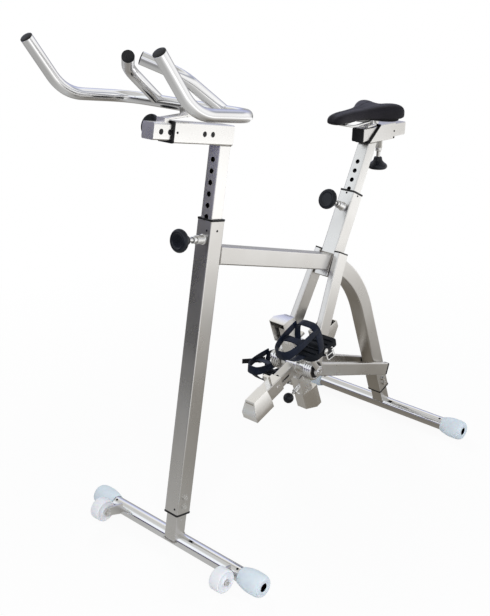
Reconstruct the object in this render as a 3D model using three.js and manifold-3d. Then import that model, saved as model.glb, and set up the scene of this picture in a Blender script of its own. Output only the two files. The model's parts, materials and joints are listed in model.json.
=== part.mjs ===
// Aqua bike in millimetres: +Z up, front of the bike towards -X, rider's left towards -Y.
// Drawn with X = 0 on the front foot tube, then the whole group is centred at the end.

import * as THREE from 'three';
import { mergeVertices } from 'three/addons/utils/BufferGeometryUtils.js';
import Module from 'manifold-3d';

const wasm = await Module();
wasm.setup();

// Shared clearances and curve steps
const gap = 0.3;
const slideGap = 0.35;
const overrun = 6;
const cutterSize = 400;
const weldTolerance = 0.0005;
const roundSteps = 14;
const pipeSteps = 10;
const boreSteps = 8;
const cornerSteps = 2;
const hexSteps = 6;

// Square tubes
const outerSide = 50;
const outerWall = 3;
const outerCorner = 4;
const innerSide = 40;
const innerWall = 2.5;
const innerCorner = 4;
const holeRadius = 5;

// Feet
const footRadius = 21;
const footWall = 2.5;
const footHeight = 31;
const footHalfLength = 296;
const rearFootX = 991.5;
const capInnerEnd = 249;
const capOuterEnd = 325;
const capRadius = 31.6;
const capNeckRadius = 23.5;
const capEndRadius = 25;
const capBoreDepth = 48;
const capHoleRadius = 12;
const capEdge = 2;
const capProfileShares = [
  [0, 0], [0.12, 0.35], [0.3, 0.78], [0.5, 1], [0.72, 1], [0.88, 0.78], [0.96, 0.4], [1, 0],
];
const capMiddleShare = 0.5;

// Transport wheels on the front foot
const wheelRadius = 32;
const wheelWidth = 33;
const wheelEdge = 4;
const wheelY = 236;
const wheelForward = 64;
const wheelHeight = 51;
const wheelDish = 3;
const wheelHubRadius = 11;
const wheelBoltRadius = 4;
const bracketThick = 7;
const bracketTall = 24;
const bracketGap = 1;

// Bolts
const boltRadius = 4;
const boltHeadAcross = 14;
const boltHeadThick = 6;
const boltCount = 2;
const frontBoltLow = 22;
const frontBoltPitch = 25.5;
const rearBoltLow = 20.7;
const rearBoltPitch = 20.5;
const boltOffset = -2;

// Front post and the handlebar post inside it
const frontLean = THREE.MathUtils.degToRad(13.2);
const frontPostX = 12;
const frontPostZ = 114.9;
const frontPostLength = 810;
const stubReach = 108;
const stubDrop = 100;
const bushFlange = 5;
const bushProud = 1;
const bushSpigot = 30;
const handlebarPostInsert = 250;
const handlebarSleeveRise = 216.5;
const holePitch = 29;
const frontPinDrop = 49.2;
const frontHolesBelow = 3;
const frontHolesAbove = 7;

// Handlebar sleeve and slider, measured back from the post's axis
const sleeveFront = -186;
const sleeveRear = 20;
const sliderFront = -248.7;
const sliderRear = 4;
const reachPitch = 28.4;
const reachPinAt = -139.8;
const reachHolesAhead = 3;
const reachHolesBehind = 3;
const sleeveWindowFront = -84.9;
const sleeveWindowRear = -56.4;

// Handlebar, measured forwards and upwards from the middle of its sleeve
const barRadius = 15;
const barWall = 2.5;
const baseAhead = 105.7;
const baseRise = 88.5;
const baseHalf = 211.5;
const baseBend = 62;
const outerBarSteps = 32;
const innerBarSteps = 10;
const endCapThick = 3;
const endCapEdge = 1;
const endCapSpigot = 14;

// Outer horns, measured from the base's corner and then from their own corner
const hornAhead = 198.5;
const hornFlare = 6.4;
const hornRise = 40.4;
const hornBend = 55;
const hornTipAhead = 86.7;
const hornTipRise = 137.7;

// Inner horns, measured from the middle of the base
const innerRootBack = 5.3;
const innerRootHalf = 109;
const innerRootRise = 11.2;
const innerBendAhead = 104.1;
const innerBendHalf = 90;
const innerBendRise = 95.2;
const innerBendTrim = 34;
const innerTipAhead = 159.4;
const innerTipHalf = 22;
const innerTipRise = 134.7;

// Bracket that carries the handlebar on its slider
const bracketWidth = 28;
const bracketPlate = 6;
const bracketHeelAt = -204.5;
const bracketHeelLong = 15;
const bracketHeelTall = 13;
const bracketBlockLength = 40;
const bracketBlockHeight = 22;

// Main tube
const mainSide = 48;
const mainDropOnPost = 87.3;
const mainRiseOnSeatTube = 47.6;

// Seat tube and the seat post inside it
const seatLean = THREE.MathUtils.degToRad(29.5);
const seatTubeX = 670.6;
const seatTubeZ = 600;
const seatTubeLength = 261;
const seatPostInsert = 141;
const seatPinDrop = 47.9;
const seatHolePitch = 28.3;
const seatHolesBelow = 3;
const seatHolesAbove = 5;

// Seat sleeve and slider
const seatSlope = THREE.MathUtils.degToRad(4.8);
const seatSleeveRise = 173.9;
const seatSleeveAhead = 35.5;
const seatSleeveLength = 133.2;
const seatMitre = 56;
const seatSliderFront = -25;
const seatSliderRear = 195;
const seatReachPinAt = 87.5;
const seatReachHolesAhead = 2;
const seatReachHolesBehind = 2;
const plugThick = 4;
const plugSpigot = 12;

// Saddle, its rails and clamp
const saddleAhead = 157.8;
const saddleLength = 259;
const saddleRise = 52.3;
const clampBehind = 18.2;
const clampPlateLong = 44;
const clampPlateWide = 38;
const clampPlate = 5;
const clampStemLong = 17;
const clampStemWide = 23;
const clampYokeLong = 30;
const clampYokeLap = 10.5;
const clampYokeTall = 14;
const railRadius = 3.5;
const railHalfGap = 22;
const railHeight = 40;
const railNoseAhead = 123.8;
const railLength = 205;
const railRise = 7;
const railNoseHalf = 11;
const railTailHalf = 30;
const railBendRun = 30;
const railTrim = 6.1;
const railNoseTrim = 4.4;
const railSteps = 20;
const railSegments = 6;
const saddleShares = [
  { along: 0.0, half: 0.15, top: 0.42, low: 0.3, notch: 0, droop: 0 },
  { along: 0.025, half: 0.23, top: 0.66, low: 0.12, notch: 0, droop: 0 },
  { along: 0.08, half: 0.29, top: 0.86, low: 0.02, notch: 0, droop: 0 },
  { along: 0.18, half: 0.31, top: 0.95, low: 0, notch: 0, droop: 0.02 },
  { along: 0.3, half: 0.32, top: 0.93, low: 0, notch: 0, droop: 0.06 },
  { along: 0.42, half: 0.35, top: 0.9, low: 0, notch: 0, droop: 0.14 },
  { along: 0.53, half: 0.42, top: 0.88, low: 0, notch: 0.03, droop: 0.28 },
  { along: 0.63, half: 0.54, top: 0.9, low: 0, notch: 0.08, droop: 0.5 },
  { along: 0.72, half: 0.7, top: 0.95, low: 0, notch: 0.14, droop: 0.74 },
  { along: 0.81, half: 0.86, top: 0.99, low: 0, notch: 0.2, droop: 0.92 },
  { along: 0.89, half: 0.97, top: 1, low: 0, notch: 0.26, droop: 1 },
  { along: 0.955, half: 1, top: 0.92, low: 0.02, notch: 0.34, droop: 0.96 },
  { along: 0.99, half: 0.93, top: 0.7, low: 0.1, notch: 0.4, droop: 0.88 },
  { along: 1.0, half: 0.85, top: 0.5, low: 0.2, notch: 0.42, droop: 0.85 },
];
const saddleHalfWidth = 82;
const saddleCrown = 33;
const saddleNotch = 32;
const saddleChannel = 6;
const saddleChannelPower = 6;
const saddleNotchPower = 2;
const saddleDroop = 27;
const saddleDroopPower = 5;
const saddleRingSteps = 18;
const shellRingSteps = 12;
const saddleSquareness = 0.62;
const shellThick = 6;
const shellInset = 5;
const coverLap = 0.5;
const pocketClear = 1.3;

// Bottom bracket, struts and chain stays
const axleX = 532;
const axleZ = 362;
const strutTopAhead = 6.3;
const strutTopRise = 79.7;
const strutFootBehind = 7;
const strutDepth = 50;
const strutThick = 20;
const strutClear = 0.05;
const strutFootY = 60;
const strutCorner = 3;
const strutWall = 2;
const strutCapThick = 4;
const strutCapSpigot = 12;
const housingRadius = 31;
const housingInner = 47;
const housingOuter = 76;
const housingRib = 3;
const housingRibStart = 51;
const housingRibPitch = 8;
const housingRibCount = 3;
const housingRibWidth = 3;
const axleRadius = 12;
const stayTall = 40;
const stayThick = 20;
const stayFrontY = 63.5;
const stayClear = 0.25;
const stayRearBehind = 9.9;
const stayRearRise = 85.8;
const stayWall = 2;
const stayLead = 18;

// Arch from the seat tube to the rear foot
const archFootAhead = 18.5;
const archFootZ = 99.7;
const archLean = THREE.MathUtils.degToRad(18.5);
const archRadius = 375;
const archTurn = THREE.MathUtils.degToRad(31.5);
const archRiseOnSeatTube = 48.8;
const archSteps = 8;

// Paddle wheel
const armTilt = THREE.MathUtils.degToRad(17.5);
const armReach = 148;
const armWide = 29;
const armTall = 39;
const armWall = 2.5;
const armCorner = 2;
const armSlotStart = 56;
const armSlotEnd = 118;
const armSlotRadius = 3.6;
const armHoleInner = 88;
const armHoleOuter = 136;
const hubRadius = 30;
const hubHalf = 20;
const hubCollarRadius = 20;
const hubCollarHalf = 45;
const bladeStart = 43;
const bladeWide = 36;
const bladeTall = 46;
const bladeWall = 2.4;
const bladeSleeveLap = 4.8;
const bladeHollowEnd = 170;
const hoodStart = 107;
const hoodTopEnd = 166;
const hoodTipEnd = 184;
const hoodTopWide = 34;
const hoodTop = 25;
const hoodShoulder = -13;
const hoodWide = 55;
const hoodLow = -35;
const bladePull = 48;
const bladeScrewAt = 61;
const bladeScrewRadius = 6;
const bladeScrewProud = 2.5;
const bladeTabAt = 80;
const bladeTabHigh = 30;
const bladeTabWide = 22;
const bladeTabThick = 9;
const ballAt = 88;
const ballOut = 68;
const ballRadius = 16;
const ballPinRadius = 4;
const ballCollarRadius = 8;
const ballCollarLong = 16;
const ballStemRadius = 3;
const ballSteps = 9;

// Cranks, pedals and straps
const crankLength = 150;
const crankAngle = THREE.MathUtils.degToRad(123.5);
const crankInner = 80;
const crankThick = 11;
const crankEyeRadius = 16;
const crankTipRadius = 13;
const crankWaist = 9;
const crankCapRadius = 11;
const crankCapThick = 3;
const crankArmThick = 9;
const spindleRadius = 7;
const spindleLong = 70;
const pedalInner = 97;
const pedalWide = 78;
const pedalLong = 112;
const pedalThick = 18;
const pedalCorner = 24;
const pedalTiltLeft = THREE.MathUtils.degToRad(-9);
const pedalTiltRight = THREE.MathUtils.degToRad(8);
const pedalRib = 3;
const pedalPocketDeep = 5.4;
const pedalRearPocketLong = 38;
const pedalRearPocketWide = 54.6;
const pedalRearPocketAt = 29.1;
const pedalFrontPocketLong = 33.6;
const pedalFrontPocketWide = 48.4;
const pedalFrontPocketAt = -31.4;
const pedalRibCount = 5;
const pedalHubRadius = 14;
const pedalSteps = 3;
const strapThick = 4;
const strapWidth = 20;
const strapToeWidth = 16;
const strapLegX = -20;
const strapLegRise = 24.6;
const strapSide = 41;
const strapHigh = 92;
const strapToeX = -142;
const strapToeZ = 62;
const strapToeHalf = 37;
const strapToeRoot = 60.7;
const strapSteps = 10;
const strapSidePower = 0.55;
const strapCrownPower = 0.7;
const strapToeSidePower = 0.6;
const strapToeCrownPower = 0.7;
// The tongue under the toes, from the toe loop back to the pedal's front edge
const tongueTopAt = -140;
const tongueTopZ = 57;
const tongueBendAt = -130;
const tongueBendZ = 42;
const tongueLowAt = -106;
const tongueLowZ = 22;
const tongueFootAt = -82.4;
const tongueFootZ = 6;
const tongueEndAt = -47.7;
const tongueEndZ = 3.6;

// Lock knobs: every one is the same pin, boss and knob
const bossRadius = 11;
const bossHeight = 25;
const bossBore = 6.5;
const pinRadius = 4;
const pinShoulder = 14;
const pinStem = 6;
const knobStart = 57;
const knobEnd = 90;
const knobRadius = 28;
const knobProfileShares = [
  [0, 0.42], [0.2, 0.46], [0.42, 0.62], [0.6, 0.92], [0.74, 1], [0.88, 0.96], [1, 0.78],
];

// Colours and finishes
const satinSteel = { color: 0xb4b3ad, roughness: 0.38, metalness: 0.9 };
const polishedSteel = { color: 0xd8d9da, roughness: 0.14, metalness: 1.0 };
const blackPlastic = { color: 0x17181c, roughness: 0.5, metalness: 0.0 };
const paleRubber = { color: 0xc9d6e2, roughness: 0.6, metalness: 0.0 };
const whiteNylon = { color: 0xeef0f4, roughness: 0.45, metalness: 0.0 };
const navyRubber = { color: 0x16233f, roughness: 0.6, metalness: 0.0 };
const blackLeather = { color: 0x1b161b, roughness: 0.42, metalness: 0.0 };
const boltSteel = { color: 0xc6c6c2, roughness: 0.25, metalness: 1.0 };

// Turning geometry into solids and back

function outlineOf(width, height, corner) {
  const points = [];
  const halfWidth = width / 2 - corner;
  const halfHeight = height / 2 - corner;
  const signs = [[1, 1], [-1, 1], [-1, -1], [1, -1]];
  signs.forEach(([sx, sy], quarter) => {
    for (let step = 0; step <= cornerSteps; step += 1) {
      const angle = (quarter + step / cornerSteps) * Math.PI / 2;
      const x = sx * halfWidth + corner * Math.cos(angle);
      const y = sy * halfHeight + corner * Math.sin(angle);
      points.push(new THREE.Vector2(x, y));
    }
  });
  return points;
}

function solidOf(geometry) {
  const bare = geometry.clone();
  bare.deleteAttribute('normal');
  bare.deleteAttribute('uv');
  const welded = mergeVertices(bare, weldTolerance);
  const source = welded.index.array;
  const position = welded.attributes.position;
  const corners = [0, 1, 2].map(() => new THREE.Vector3());
  const kept = [];
  let volume = 0;
  for (let at = 0; at < source.length; at += 3) {
    const [a, b, c] = [source[at], source[at + 1], source[at + 2]];
    if (a === b || b === c || c === a) continue;
    [a, b, c].forEach((index, k) => corners[k].fromBufferAttribute(position, index));
    volume += corners[0].dot(corners[1].clone().cross(corners[2]));
    kept.push([a, b, c]);
  }
  const faces = volume < 0 ? kept.map(([a, b, c]) => [a, c, b]) : kept;
  return new wasm.Manifold(new wasm.Mesh({
    numProp: 3,
    vertProperties: new Float32Array(position.array),
    triVerts: new Uint32Array(faces.flat()),
  }));
}

function geometryOf(solid) {
  const mesh = solid.getMesh();
  const geometry = new THREE.BufferGeometry();
  geometry.setAttribute('position', new THREE.BufferAttribute(Float32Array.from(mesh.vertProperties), 3));
  geometry.setIndex(new THREE.BufferAttribute(Uint32Array.from(mesh.triVerts), 1));
  return geometry;
}

function placed(solid, frame) {
  return solid.transform(frame.elements);
}

function shifted(solid, x, y, z) {
  return placed(solid, new THREE.Matrix4().makeTranslation(x, y, z));
}

function mirrored(solid) {
  return placed(solid, new THREE.Matrix4().makeScale(1, -1, 1));
}

// Stands an outline drawn in X and Y upright, so that its Y becomes Z
function sideOn(solid) {
  return placed(solid, new THREE.Matrix4().makeRotationX(Math.PI / 2));
}

function fused(solids) {
  return solids.reduce((whole, next) => whole.add(next));
}

function cutBy(solid, cutters) {
  return cutters.reduce((left, cutter) => left.subtract(cutter), solid);
}

// Frames: local Z runs along the given direction, local Y stays as near to the given side as it can
function frameAt(origin, direction, side = new THREE.Vector3(0, 1, 0)) {
  const along = direction.clone().normalize();
  const level = new THREE.Vector3(0, 0, 1);
  const lying = side.clone().cross(along).lengthSq() === 0;
  const across = (lying ? level : side.clone()).cross(along).normalize();
  const up = along.clone().cross(across);
  return new THREE.Matrix4().makeBasis(across, up, along).setPosition(origin);
}

function frameBetween(from, to, side) {
  return frameAt(from, to.clone().sub(from), side);
}

// Basic solids, all standing on local Z = 0

function prism(points, length) {
  const shape = new THREE.Shape(points);
  return solidOf(new THREE.ExtrudeGeometry(shape, { depth: length, bevelEnabled: false }));
}

function block(width, height, corner, length) {
  return prism(outlineOf(width, height, corner), length);
}

function squareTube(width, height, corner, wall, length) {
  const shape = new THREE.Shape(outlineOf(width, height, corner));
  const bore = outlineOf(width - 2 * wall, height - 2 * wall, Math.max(corner - wall, corner / 4));
  shape.holes.push(new THREE.Path(bore.reverse()));
  return solidOf(new THREE.ExtrudeGeometry(shape, { depth: length, bevelEnabled: false }));
}

function turned(profile, steps) {
  const points = profile.map(([radius, height]) => new THREE.Vector2(radius, height));
  return solidOf(new THREE.LatheGeometry(points, steps).rotateX(Math.PI / 2));
}

function bar(radius, length, steps) {
  return turned([[0, 0], [radius, 0], [radius, length], [0, length]], steps);
}

// The radius that keeps the flats of a faceted bore clear of a round of the given radius
function reamed(radius, steps) {
  return radius / Math.cos(Math.PI / steps);
}

function bore(radius, length) {
  return bar(reamed(radius, boreSteps), length, boreSteps);
}

function boreBetween(from, to, radius) {
  return barBetween(from, to, reamed(radius, boreSteps), boreSteps);
}

function barBetween(from, to, radius, steps) {
  return placed(bar(radius, from.distanceTo(to), steps), frameBetween(from, to));
}

function along(frame, x, y, z) {
  return new THREE.Vector3(x, y, z).applyMatrix4(frame);
}

function axisOf(frame, column) {
  return new THREE.Vector3().setFromMatrixColumn(frame, column);
}

// A bent round bar through corner points, each inner corner rounded by its trim
function bentBar(points, trims, radius, steps, segments) {
  const path = new THREE.CurvePath();
  let start = points[0];
  for (let at = 1; at < points.length - 1; at += 1) {
    const corner = points[at];
    const before = corner.clone().add(points[at - 1].clone().sub(corner).setLength(trims[at - 1]));
    const after = corner.clone().add(points[at + 1].clone().sub(corner).setLength(trims[at - 1]));
    path.add(new THREE.LineCurve3(start, before));
    path.add(new THREE.QuadraticBezierCurve3(before, corner, after));
    start = after;
  }
  path.add(new THREE.LineCurve3(start, points[points.length - 1]));
  const circle = [];
  for (let step = 0; step < segments; step += 1) {
    const angle = step / segments * 2 * Math.PI;
    circle.push(new THREE.Vector2(radius * Math.cos(angle), radius * Math.sin(angle)));
  }
  const settings = { steps, extrudePath: path, bevelEnabled: false };
  return solidOf(new THREE.ExtrudeGeometry(new THREE.Shape(circle), settings));
}

// A closed skin through equal rings of points, capped by a fan at each end
function loft(rings) {
  const count = rings[0].length;
  const positions = rings.flat().flatMap((point) => [point.x, point.y, point.z]);
  const faces = [];
  for (let ring = 0; ring + 1 < rings.length; ring += 1) {
    for (let step = 0; step < count; step += 1) {
      const a = ring * count + step;
      const b = ring * count + (step + 1) % count;
      faces.push(a, b, b + count, a, b + count, a + count);
    }
  }
  [0, rings.length - 1].forEach((ring) => {
    const centre = new THREE.Vector3();
    rings[ring].forEach((point) => centre.add(point));
    centre.divideScalar(count);
    const hub = positions.length / 3;
    positions.push(centre.x, centre.y, centre.z);
    for (let step = 0; step < count; step += 1) {
      const a = ring * count + step;
      const b = ring * count + (step + 1) % count;
      if (ring === 0) faces.push(hub, b, a);
      else faces.push(hub, a, b);
    }
  });
  const geometry = new THREE.BufferGeometry();
  geometry.setAttribute('position', new THREE.Float32BufferAttribute(positions, 3));
  geometry.setIndex(faces);
  return solidOf(geometry);
}

// A flat strap through points; each row gives the centre and the direction of the width
function strapBand(rows, width, thick) {
  const rings = rows.map(({ at, across }, index) => {
    const before = rows[Math.max(index - 1, 0)].at;
    const after = rows[Math.min(index + 1, rows.length - 1)].at;
    const run = after.clone().sub(before).normalize();
    const side = across.clone().normalize();
    const out = run.clone().cross(side).normalize().multiplyScalar(thick / 2);
    side.multiplyScalar(width / 2);
    return [
      at.clone().add(side).add(out),
      at.clone().sub(side).add(out),
      at.clone().sub(side).sub(out),
      at.clone().add(side).sub(out),
    ];
  });
  return loft(rings);
}

// Frames and points that several pieces share

const sideways = new THREE.Vector3(0, 1, 0);
const upright = new THREE.Vector3(0, 0, 1);
const lengthways = new THREE.Vector3(1, 0, 0);
const frontAxis = new THREE.Vector3(Math.sin(frontLean), 0, Math.cos(frontLean));
const frontFrame = frameAt(new THREE.Vector3(frontPostX, 0, frontPostZ), frontAxis);
const frontBack = axisOf(frontFrame, 0);
const handlebarSleeveHeight = frontPostLength + handlebarSleeveRise;
const sleeveFrame = frameAt(along(frontFrame, 0, 0, handlebarSleeveHeight), frontBack);
const seatAxis = new THREE.Vector3(Math.sin(seatLean), 0, Math.cos(seatLean));
const seatFrame = frameAt(new THREE.Vector3(seatTubeX, 0, seatTubeZ), seatAxis);
const seatBack = new THREE.Vector3(Math.cos(seatSlope), 0, -Math.sin(seatSlope));
const seatSleeveOrigin = along(seatFrame, -seatSleeveAhead, 0, seatTubeLength + seatSleeveRise);
const seatSleeveFrame = frameAt(seatSleeveOrigin, seatBack);
const mainFrame = frameBetween(
  along(frontFrame, 0, 0, frontPostLength - mainDropOnPost),
  along(seatFrame, 0, 0, mainRiseOnSeatTube),
);
const mainLength = along(frontFrame, 0, 0, frontPostLength - mainDropOnPost)
  .distanceTo(along(seatFrame, 0, 0, mainRiseOnSeatTube));
const archAxis = new THREE.Vector3(-Math.sin(archLean), 0, Math.cos(archLean));
const archFrame = frameAt(new THREE.Vector3(rearFootX - archFootAhead, 0, archFootZ), archAxis);
const axlePoint = new THREE.Vector3(axleX, 0, axleZ);
const frontBolts = rowOf(frontBoltLow, frontBoltPitch, boltCount);
const rearBolts = rowOf(rearBoltLow, rearBoltPitch, boltCount);
const saddleNoseX = seatSleeveOrigin.x - saddleAhead;
const saddleFloorZ = seatSleeveOrigin.z + saddleRise;
const railZ = seatSleeveOrigin.z + railHeight;
const frontPinHeight = frontPostLength - frontPinDrop;
const seatPinHeight = seatTubeLength - seatPinDrop;

// Lock frames: origin on the outer face, local Z pointing out along the knob
const lockFrames = {
  front: frameAt(along(frontFrame, -outerSide / 2, 0, frontPinHeight), frontBack.clone().negate()),
  reach: frameAt(along(sleeveFrame, 0, outerSide / 2, reachPinAt), sideways, frontBack),
  seat: frameAt(along(seatFrame, -outerSide / 2, 0, seatPinHeight), axisOf(seatFrame, 0).negate()),
  saddle: frameAt(along(seatSleeveFrame, outerSide / 2, 0, seatReachPinAt), axisOf(seatSleeveFrame, 0)),
};

// The same frame moved along its own Z to the mouth of its tube
function mouthOf(frame, length) {
  return frameAt(along(frame, 0, 0, length), axisOf(frame, 2));
}

function rowOf(start, pitch, amount) {
  return Array.from({ length: amount }, (unused, step) => start + step * pitch);
}

function lockBoss(frame) {
  const sunk = outerWall / 2;
  return placed(shifted(bar(bossRadius, bossHeight + sunk, roundSteps), 0, 0, -sunk), frame);
}

function lockBore(frame) {
  const narrow = shifted(bore(pinRadius + gap, bossHeight + outerSide), 0, 0, -outerSide / 4);
  const wide = shifted(bore(bossBore + gap, bossHeight + overrun), 0, 0, outerWall);
  return placed(narrow.add(wide), frame);
}

function lockPin(frame) {
  const nose = -(outerSide - innerSide) / 2 + gap;
  const knobLength = knobEnd - knobStart;
  const profile = [[0, nose], [pinRadius, nose], [pinRadius, pinShoulder], [pinStem, pinShoulder]];
  profile.push([pinStem, knobStart]);
  knobProfileShares.forEach(([high, wide]) => {
    profile.push([knobRadius * wide, knobStart + knobLength * high]);
  });
  profile.push([0, knobEnd]);
  return placed(turned(profile, roundSteps), frame);
}

// A black sleeve bush: a flange on the tube's mouth and a spigot inside it
function bush(frame, outwards, cuts) {
  const outerBore = outerSide - 2 * outerWall - 2 * gap;
  const opening = innerSide + 2 * slideGap;
  const flangeSide = outerSide + 2 * bushProud;
  const flange = shifted(block(flangeSide, flangeSide, outerCorner, bushFlange), 0, 0, gap);
  const spigotLength = bushSpigot + bushFlange / 2;
  const spigotBlock = block(outerBore, outerBore, outerCorner / 2, spigotLength);
  const spigot = shifted(spigotBlock, 0, 0, gap - bushSpigot);
  const hole = shifted(block(opening, opening, innerCorner, cutterSize), 0, 0, -cutterSize / 2);
  const whole = flange.add(spigot).subtract(hole);
  const flipped = placed(whole, new THREE.Matrix4().makeRotationX(Math.PI));
  return cutBy(placed(outwards ? whole : flipped, frame), cuts);
}

// Through holes for the bolts that pin an outer tube to its stub
function boltBore(frame, height) {
  const start = new THREE.Vector3(boltOffset, -outerSide, height);
  const lying = placed(bore(boltRadius + gap, 2 * outerSide), frameAt(start, sideways, lengthways));
  return placed(lying, frame);
}

function boltBores(frame, heights) {
  return heights.map((height) => boltBore(frame, height));
}

// A bolt standing on local Z = 0 with a hexagon head at both ends of its grip
function hexBolt(radius, grip) {
  const shank = bar(radius, grip + 2 * boltHeadThick, boreSteps);
  const head = bar(boltHeadAcross / Math.sqrt(3), boltHeadThick, hexSteps);
  return fused([shank, head, shifted(head, 0, 0, grip + boltHeadThick)]);
}

function throughBolt(frame, height) {
  const face = outerSide / 2 + gap;
  const start = new THREE.Vector3(boltOffset, -face - boltHeadThick, height);
  const lying = placed(hexBolt(boltRadius, 2 * face), frameAt(start, sideways, lengthways));
  return placed(lying, frame);
}

// Holes down one face of an inner tube
function holeRow(frame, face, positions, depth) {
  return positions.map((height) => {
    const drill = bore(holeRadius, depth + overrun);
    const start = face.clone().multiplyScalar(innerSide / 2 + overrun);
    start.z += height;
    return placed(placed(drill, frameAt(start, face.clone().negate(), upright)), frame);
  });
}

function spread(middle, pitch, below, above) {
  return rowOf(middle - below * pitch, pitch, below + 1 + above);
}

// Feet

function lyingBar(radius, half, x, z, steps) {
  const from = new THREE.Vector3(x, -half, z);
  return barBetween(from, new THREE.Vector3(x, half, z), radius, steps);
}

// A foot bar with a square stub standing in it, and the hollow of the stub
function footTube(frame, x) {
  const stub = shifted(block(innerSide, innerSide, innerCorner, stubDrop + stubReach), 0, 0, -stubDrop);
  const cutter = block(cutterSize, cutterSize, innerCorner, cutterSize);
  const below = shifted(cutter, x, 0, footHeight - cutterSize);
  const tube = lyingBar(footRadius, footHalfLength, x, footHeight, roundSteps);
  const innerBore = innerSide - 2 * innerWall;
  const hollow = shifted(block(innerBore, innerBore, innerCorner / 2, cutterSize), 0, 0, -bushSpigot);
  return { outer: tube.add(placed(stub, frame).subtract(below)), hollow: placed(hollow, frame) };
}

function footBore(x) {
  return lyingBar(footRadius - footWall, footHalfLength + overrun, x, footHeight, roundSteps);
}

function wheelBracket(side) {
  const inner = wheelY - wheelWidth / 2 - bracketGap - bracketThick;
  const rise = wheelHeight - footHeight;
  const half = bracketTall / 2;
  const root = footRadius - footWall / 2;
  const points = [new THREE.Vector2(0, -root), new THREE.Vector2(0, root)];
  for (let step = 0; step <= 2 * cornerSteps; step += 1) {
    const angle = (1 + step / cornerSteps) * Math.PI / 2;
    points.push(new THREE.Vector2(-wheelForward + half * Math.cos(angle), rise + half * Math.sin(angle)));
  }
  const plate = sideOn(prism(points.reverse(), bracketThick));
  const standing = shifted(plate, 0, inner + bracketThick, footHeight);
  return side > 0 ? standing : mirrored(standing);
}

function wheelBore(side) {
  const from = new THREE.Vector3(-wheelForward, side * (wheelY - wheelWidth * 2), wheelHeight);
  const to = new THREE.Vector3(-wheelForward, side * (wheelY + wheelWidth * 2), wheelHeight);
  return boreBetween(from, to, wheelBoltRadius + gap);
}

function frontFoot() {
  const { outer, hollow } = footTube(frontFrame, 0);
  const brackets = [-1, 1].map((side) => wheelBracket(side));
  const whole = fused([outer, ...brackets]);
  const bores = boltBores(frontFrame, frontBolts);
  return cutBy(whole, [footBore(0), hollow, wheelBore(-1), wheelBore(1), ...bores]);
}

function rearFoot() {
  const { outer, hollow } = footTube(archFrame, rearFootX);
  return cutBy(outer, [footBore(rearFootX), hollow, ...boltBores(archFrame, rearBolts)]);
}

function footCap(x, side) {
  const long = capOuterEnd - capInnerEnd;
  const sleeve = reamed(footRadius + gap, roundSteps);
  const profile = [[sleeve, 0]];
  capProfileShares.forEach(([share, swell]) => {
    const base = share < capMiddleShare ? capNeckRadius : capEndRadius;
    profile.push([base + (capRadius - base) * swell, long * share]);
  });
  profile.push([capHoleRadius, long], [capHoleRadius, capBoreDepth], [sleeve, capBoreDepth], [sleeve, 0]);
  const start = new THREE.Vector3(x, side * capInnerEnd, footHeight);
  const outwards = sideways.clone().multiplyScalar(side);
  const round = placed(turned(profile, roundSteps), frameAt(start, outwards, upright));
  const below = block(capRadius * 2, long * 2, capEdge, capRadius);
  return round.subtract(shifted(below, x, side * (capInnerEnd + long / 2), -capRadius));
}

// A turned profile and its mirror image about the middle plane, closed into one loop
function mirroredProfile(half) {
  const other = half.map(([radius, height]) => [radius, -height]).reverse();
  return [...half, ...other, half[0]];
}

function transportWheel(side) {
  const half = wheelWidth / 2;
  const rim = wheelRadius - wheelEdge;
  const eye = reamed(wheelBoltRadius + gap, roundSteps);
  const profile = mirroredProfile([
    [eye, -half], [wheelHubRadius, -half], [wheelHubRadius + wheelDish, wheelDish - half],
    [rim - wheelDish, wheelDish - half], [rim, -half], [wheelRadius, wheelEdge - half],
  ]);
  const centre = new THREE.Vector3(-wheelForward, side * wheelY, wheelHeight);
  return placed(turned(profile, roundSteps), frameAt(centre, sideways, upright));
}

function wheelBolt(side) {
  const inner = wheelY - wheelWidth / 2 - bracketGap - bracketThick - gap;
  const outer = wheelY + wheelWidth / 2 + bracketGap;
  const start = new THREE.Vector3(-wheelForward, inner - boltHeadThick, wheelHeight);
  const lying = placed(hexBolt(wheelBoltRadius, outer - inner), frameAt(start, sideways, upright));
  return side > 0 ? lying : mirrored(lying);
}

// Front post, handlebar post and slider

function frontPost() {
  const tube = squareTube(outerSide, outerSide, outerCorner, outerWall, frontPostLength);
  const cuts = [...boltBores(frontFrame, frontBolts), lockBore(lockFrames.front)];
  return cutBy(placed(tube, frontFrame).add(lockBossShell(lockFrames.front, frontFrame)), cuts);
}

// The boss, trimmed so that nothing of it stands inside the tube
function lockBossShell(frame, tubeFrame) {
  const side = outerSide - outerWall;
  const core = shifted(block(side, side, outerCorner / 2, 2 * frontPostLength), 0, 0, -frontPostLength);
  return lockBoss(frame).subtract(placed(core, tubeFrame));
}

// A hole drilled in from one side of a sleeve or slider, a given way along it
function sideHole(tubeSide, at, depth) {
  const start = new THREE.Vector3(0, -tubeSide / 2 - overrun, at);
  return placed(bore(holeRadius, depth + overrun), frameAt(start, sideways, upright));
}

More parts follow.
